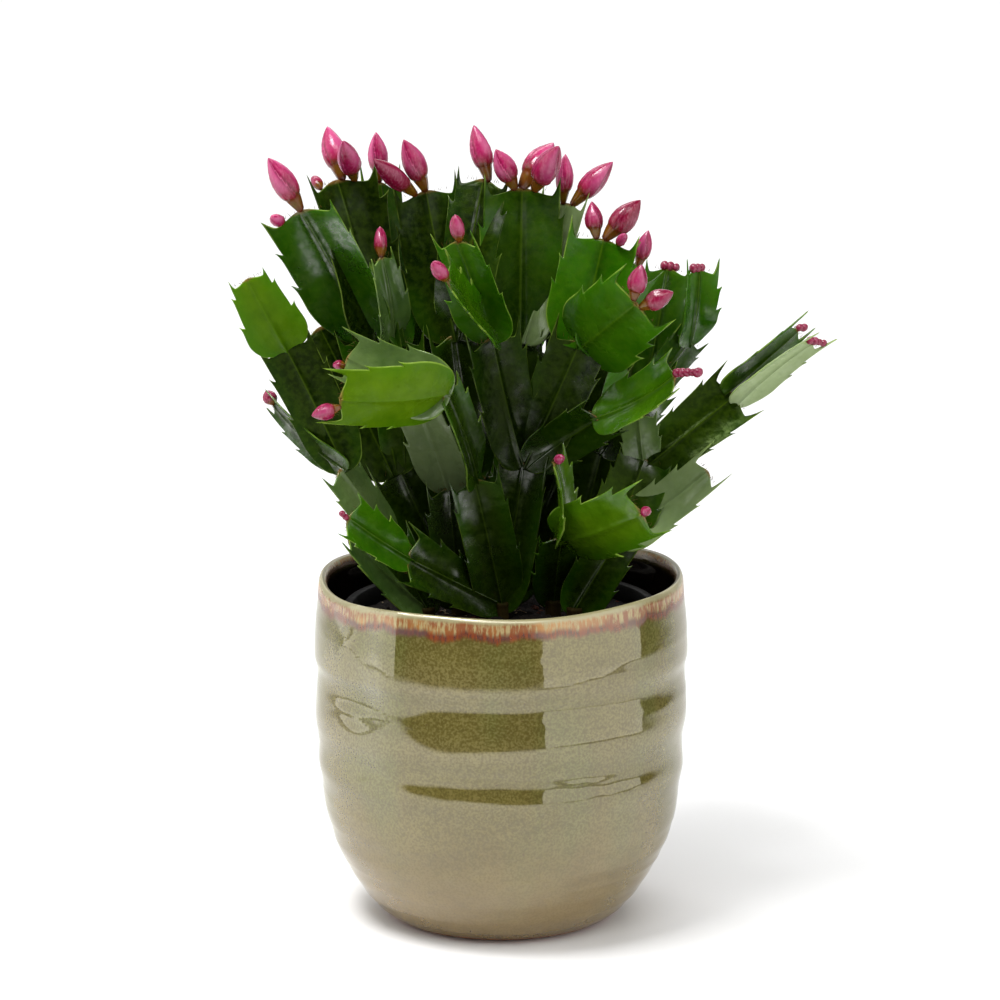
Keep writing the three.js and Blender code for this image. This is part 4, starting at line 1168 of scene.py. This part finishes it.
def bud_skin(foot, point, girth, flush, seed):
    """A closed bud: the outline turned round the line from foot to point. Three petals wind round it, and
    each rises towards its free edge and steps down onto the next one."""
    large = girth >= SMALL_BUD_GIRTH * BUD_FULLNESS
    outline, steps, sides = (BUD_OUTLINE, 44, 60) if large else (SMALL_BUD_OUTLINE, 26, 30)
    t, share = along_profile(outline, steps)
    keep = share > 0.001
    t = t[keep][:, None]
    share = share[keep][:, None]
    along = point - foot
    length = np.linalg.norm(along)
    way = along / length
    angle = round_turn(sides)
    petal = (angle / (2 * np.pi) * PETALS + PETAL_WIND * t + draw(seed)) % 1.0
    covered = np.clip((t - 0.25) / 0.08, 0, 1) * np.clip((1 - t) / 0.12, 0, 1)
    ridge = petal**1.6
    ridge = np.where(petal > PETAL_EDGE, ridge * (1 - petal) / (1 - PETAL_EDGE), ridge)
    radius = girth / 2 * share * (1 + PETAL_STEP * covered * (ridge - 0.5))
    ribbed = (1 - covered) * np.clip((0.3 - t) / 0.1, 0, 1) * 0.05 * np.cos(5 * angle)
    rows = round_line(foot + way * (t * length)[..., None], way, radius * (1 + ribbed), angle)
    return loft(rows, rise=t, petal=petal, flush=flush)


def bead_skin(centre, way, girth, seed):
    """A bead with a slight point: an ellipse turned round its own line."""
    rise = np.linspace(0.08, np.pi - 0.08, 11)[:, None]
    angle = round_turn(14)
    radius = girth / 2 * np.sin(rise) * (1 + 0.06 * np.cos(3 * angle + seed))
    rows = round_line(centre - way * (girth * BEAD_HALF * np.cos(rise))[..., None], way, radius, angle)
    return loft(rows, rise=0.2 + 0.8 * rise / np.pi, petal=0.5, flush=0.9)


def flower_buds(segments):
    for k, (on, place, across, height, depth, girth, flush) in enumerate(BUDS):
        segment = segments[on]
        foot = bud_seat(segment, place, -BUD_SUNK)
        skin = bud_skin(foot, from_board(across, height, depth), girth * BUD_FULLNESS, flush, k * 1.7)
        piece(f"flower_bud_{k + 1:02d}", [skin], BUD, "bud", f"bud_{k + 1:02d}")


def bead_rows(segments):
    for k, (on, place, count, girth, heading) in enumerate(BEADS):
        segment = segments[on]
        axes = segment["frame"]
        turn = math.radians(heading)
        step = (axes["across"] * math.cos(turn) + axes["along"] * math.sin(turn)) * girth * BEAD_SPACING
        first = bud_seat(segment, place, girth * BEAD_OUT - BEAD_SUNK)
        skins = []
        for n in range(count):
            size = girth * (0.85 + 0.3 * draw(k * 7 + n))
            skins.append(bead_skin(first + n * step, axes["along"], size, n))
        piece(f"bead_row_{k + 1}", skins, BUD, "bud", f"beads_{k + 1}")


# Studio

# The floor in metres: its front edge, where it starts to bend up, the bend's radius, the backdrop's top,
# and how far it goes to each side
FLOOR_FRONT = -3.8
FLOOR_BEND = 1.9
FLOOR_ROUND = 0.9
BACKDROP_TOP = 3.2
FLOOR_SIDE = 3.8
# Each lamp: name, where it hangs, its two sizes, its power in watts and what it points at, lengths in metres
LAMPS = [
    ("soft_left", (-0.9, -0.02, 0.56), (1.2, 1.1), 5.8, (0, 0, 0.3)),
    ("soft_right", (0.82, -0.5, 0.56), (1.45, 1.1), 7, (0, 0, 0.3)),
    ("soft_top", (-0.4, -0.3, 1.3), (0.5, 0.4), 15, (0, 0, 0.2)),
    ("front_wash", (0.0, -1.4, 2.0), (1.6, 0.9), 22, (0, -1.4, 0)),
    ("back_wash", (0.0, 1.4, 1.9), (2.4, 0.9), 42, (0, 2.0, 0.2)),
]
WORLD_LIGHT = 0.07


def studio():
    """A pale floor, flat, then a quarter round up into a backdrop, soft light from both sides and above,
    and the camera."""
    turn = np.linspace(0, np.pi / 2, 30)
    run = np.concatenate([[FLOOR_FRONT], FLOOR_BEND + FLOOR_ROUND * np.sin(turn), [FLOOR_BEND + FLOOR_ROUND]])
    rise = np.concatenate([[0], FLOOR_ROUND * (1 - np.cos(turn)), [BACKDROP_TOP]])
    across = np.linspace(-FLOOR_SIDE, FLOOR_SIDE, 3)
    points = np.stack([np.tile(across, len(run)), np.repeat(run, 3), np.repeat(rise, 3)], axis=-1)
    index = np.arange(len(points)).reshape(-1, 3)
    faces = np.stack([index[:-1, :-1], index[:-1, 1:], index[1:, 1:], index[1:, :-1]], axis=-1).reshape(-1, 4)
    floor = placed("floor", smooth_mesh("floor", points, faces.tolist(), FLOOR))

    for name, place, size, power, aim in LAMPS:
        light = bpy.data.lights.new(name, "AREA")
        light.shape = "RECTANGLE"
        light.size, light.size_y = size
        light.energy = power
        lamp = placed(name, light)
        lamp.location = place
        lamp.rotation_euler = (Vector(aim) - Vector(place)).to_track_quat("-Z", "Y").to_euler()

    world = bpy.data.worlds.new("studio_air")
    world.use_nodes = True
    air = world.node_tree.nodes["Background"]
    air.inputs["Color"].default_value = (1, 1, 1, 1)
    air.inputs["Strength"].default_value = WORLD_LIGHT
    bpy.context.scene.world = world
    bpy.context.scene.view_settings.view_transform = "Standard"

    camera = bpy.data.cameras.new("camera")
    camera.sensor_width = SENSOR
    camera.lens = SENSOR * EYE_DISTANCE / FRAME_WIDTH
    camera.clip_end = 20
    eye = placed("camera", camera)
    eye.location = (EYE + np.array([CAMERA_ASIDE, 0, 0])) * MM
    eye.rotation_euler = (math.pi / 2 - LOOK_DOWN, 0, 0)
    bpy.context.scene.camera = eye


stoneware_pot()
nursery_pot()
soil_ball()
grown = {}
for order, (name, (root, rows)) in enumerate(CUTTINGS.items()):
    segments = drawn_cutting(root, rows, order + 1)
    cutting_piece(name, root, segments)
    grown.update(segments)
cutting_piece("cutting_back", BACK_ROOT, ruled_cutting(BACK_ROOT, BACK_BEARINGS, len(CUTTINGS) + 1))
flower_buds(grown)
bead_rows(grown)
studio()
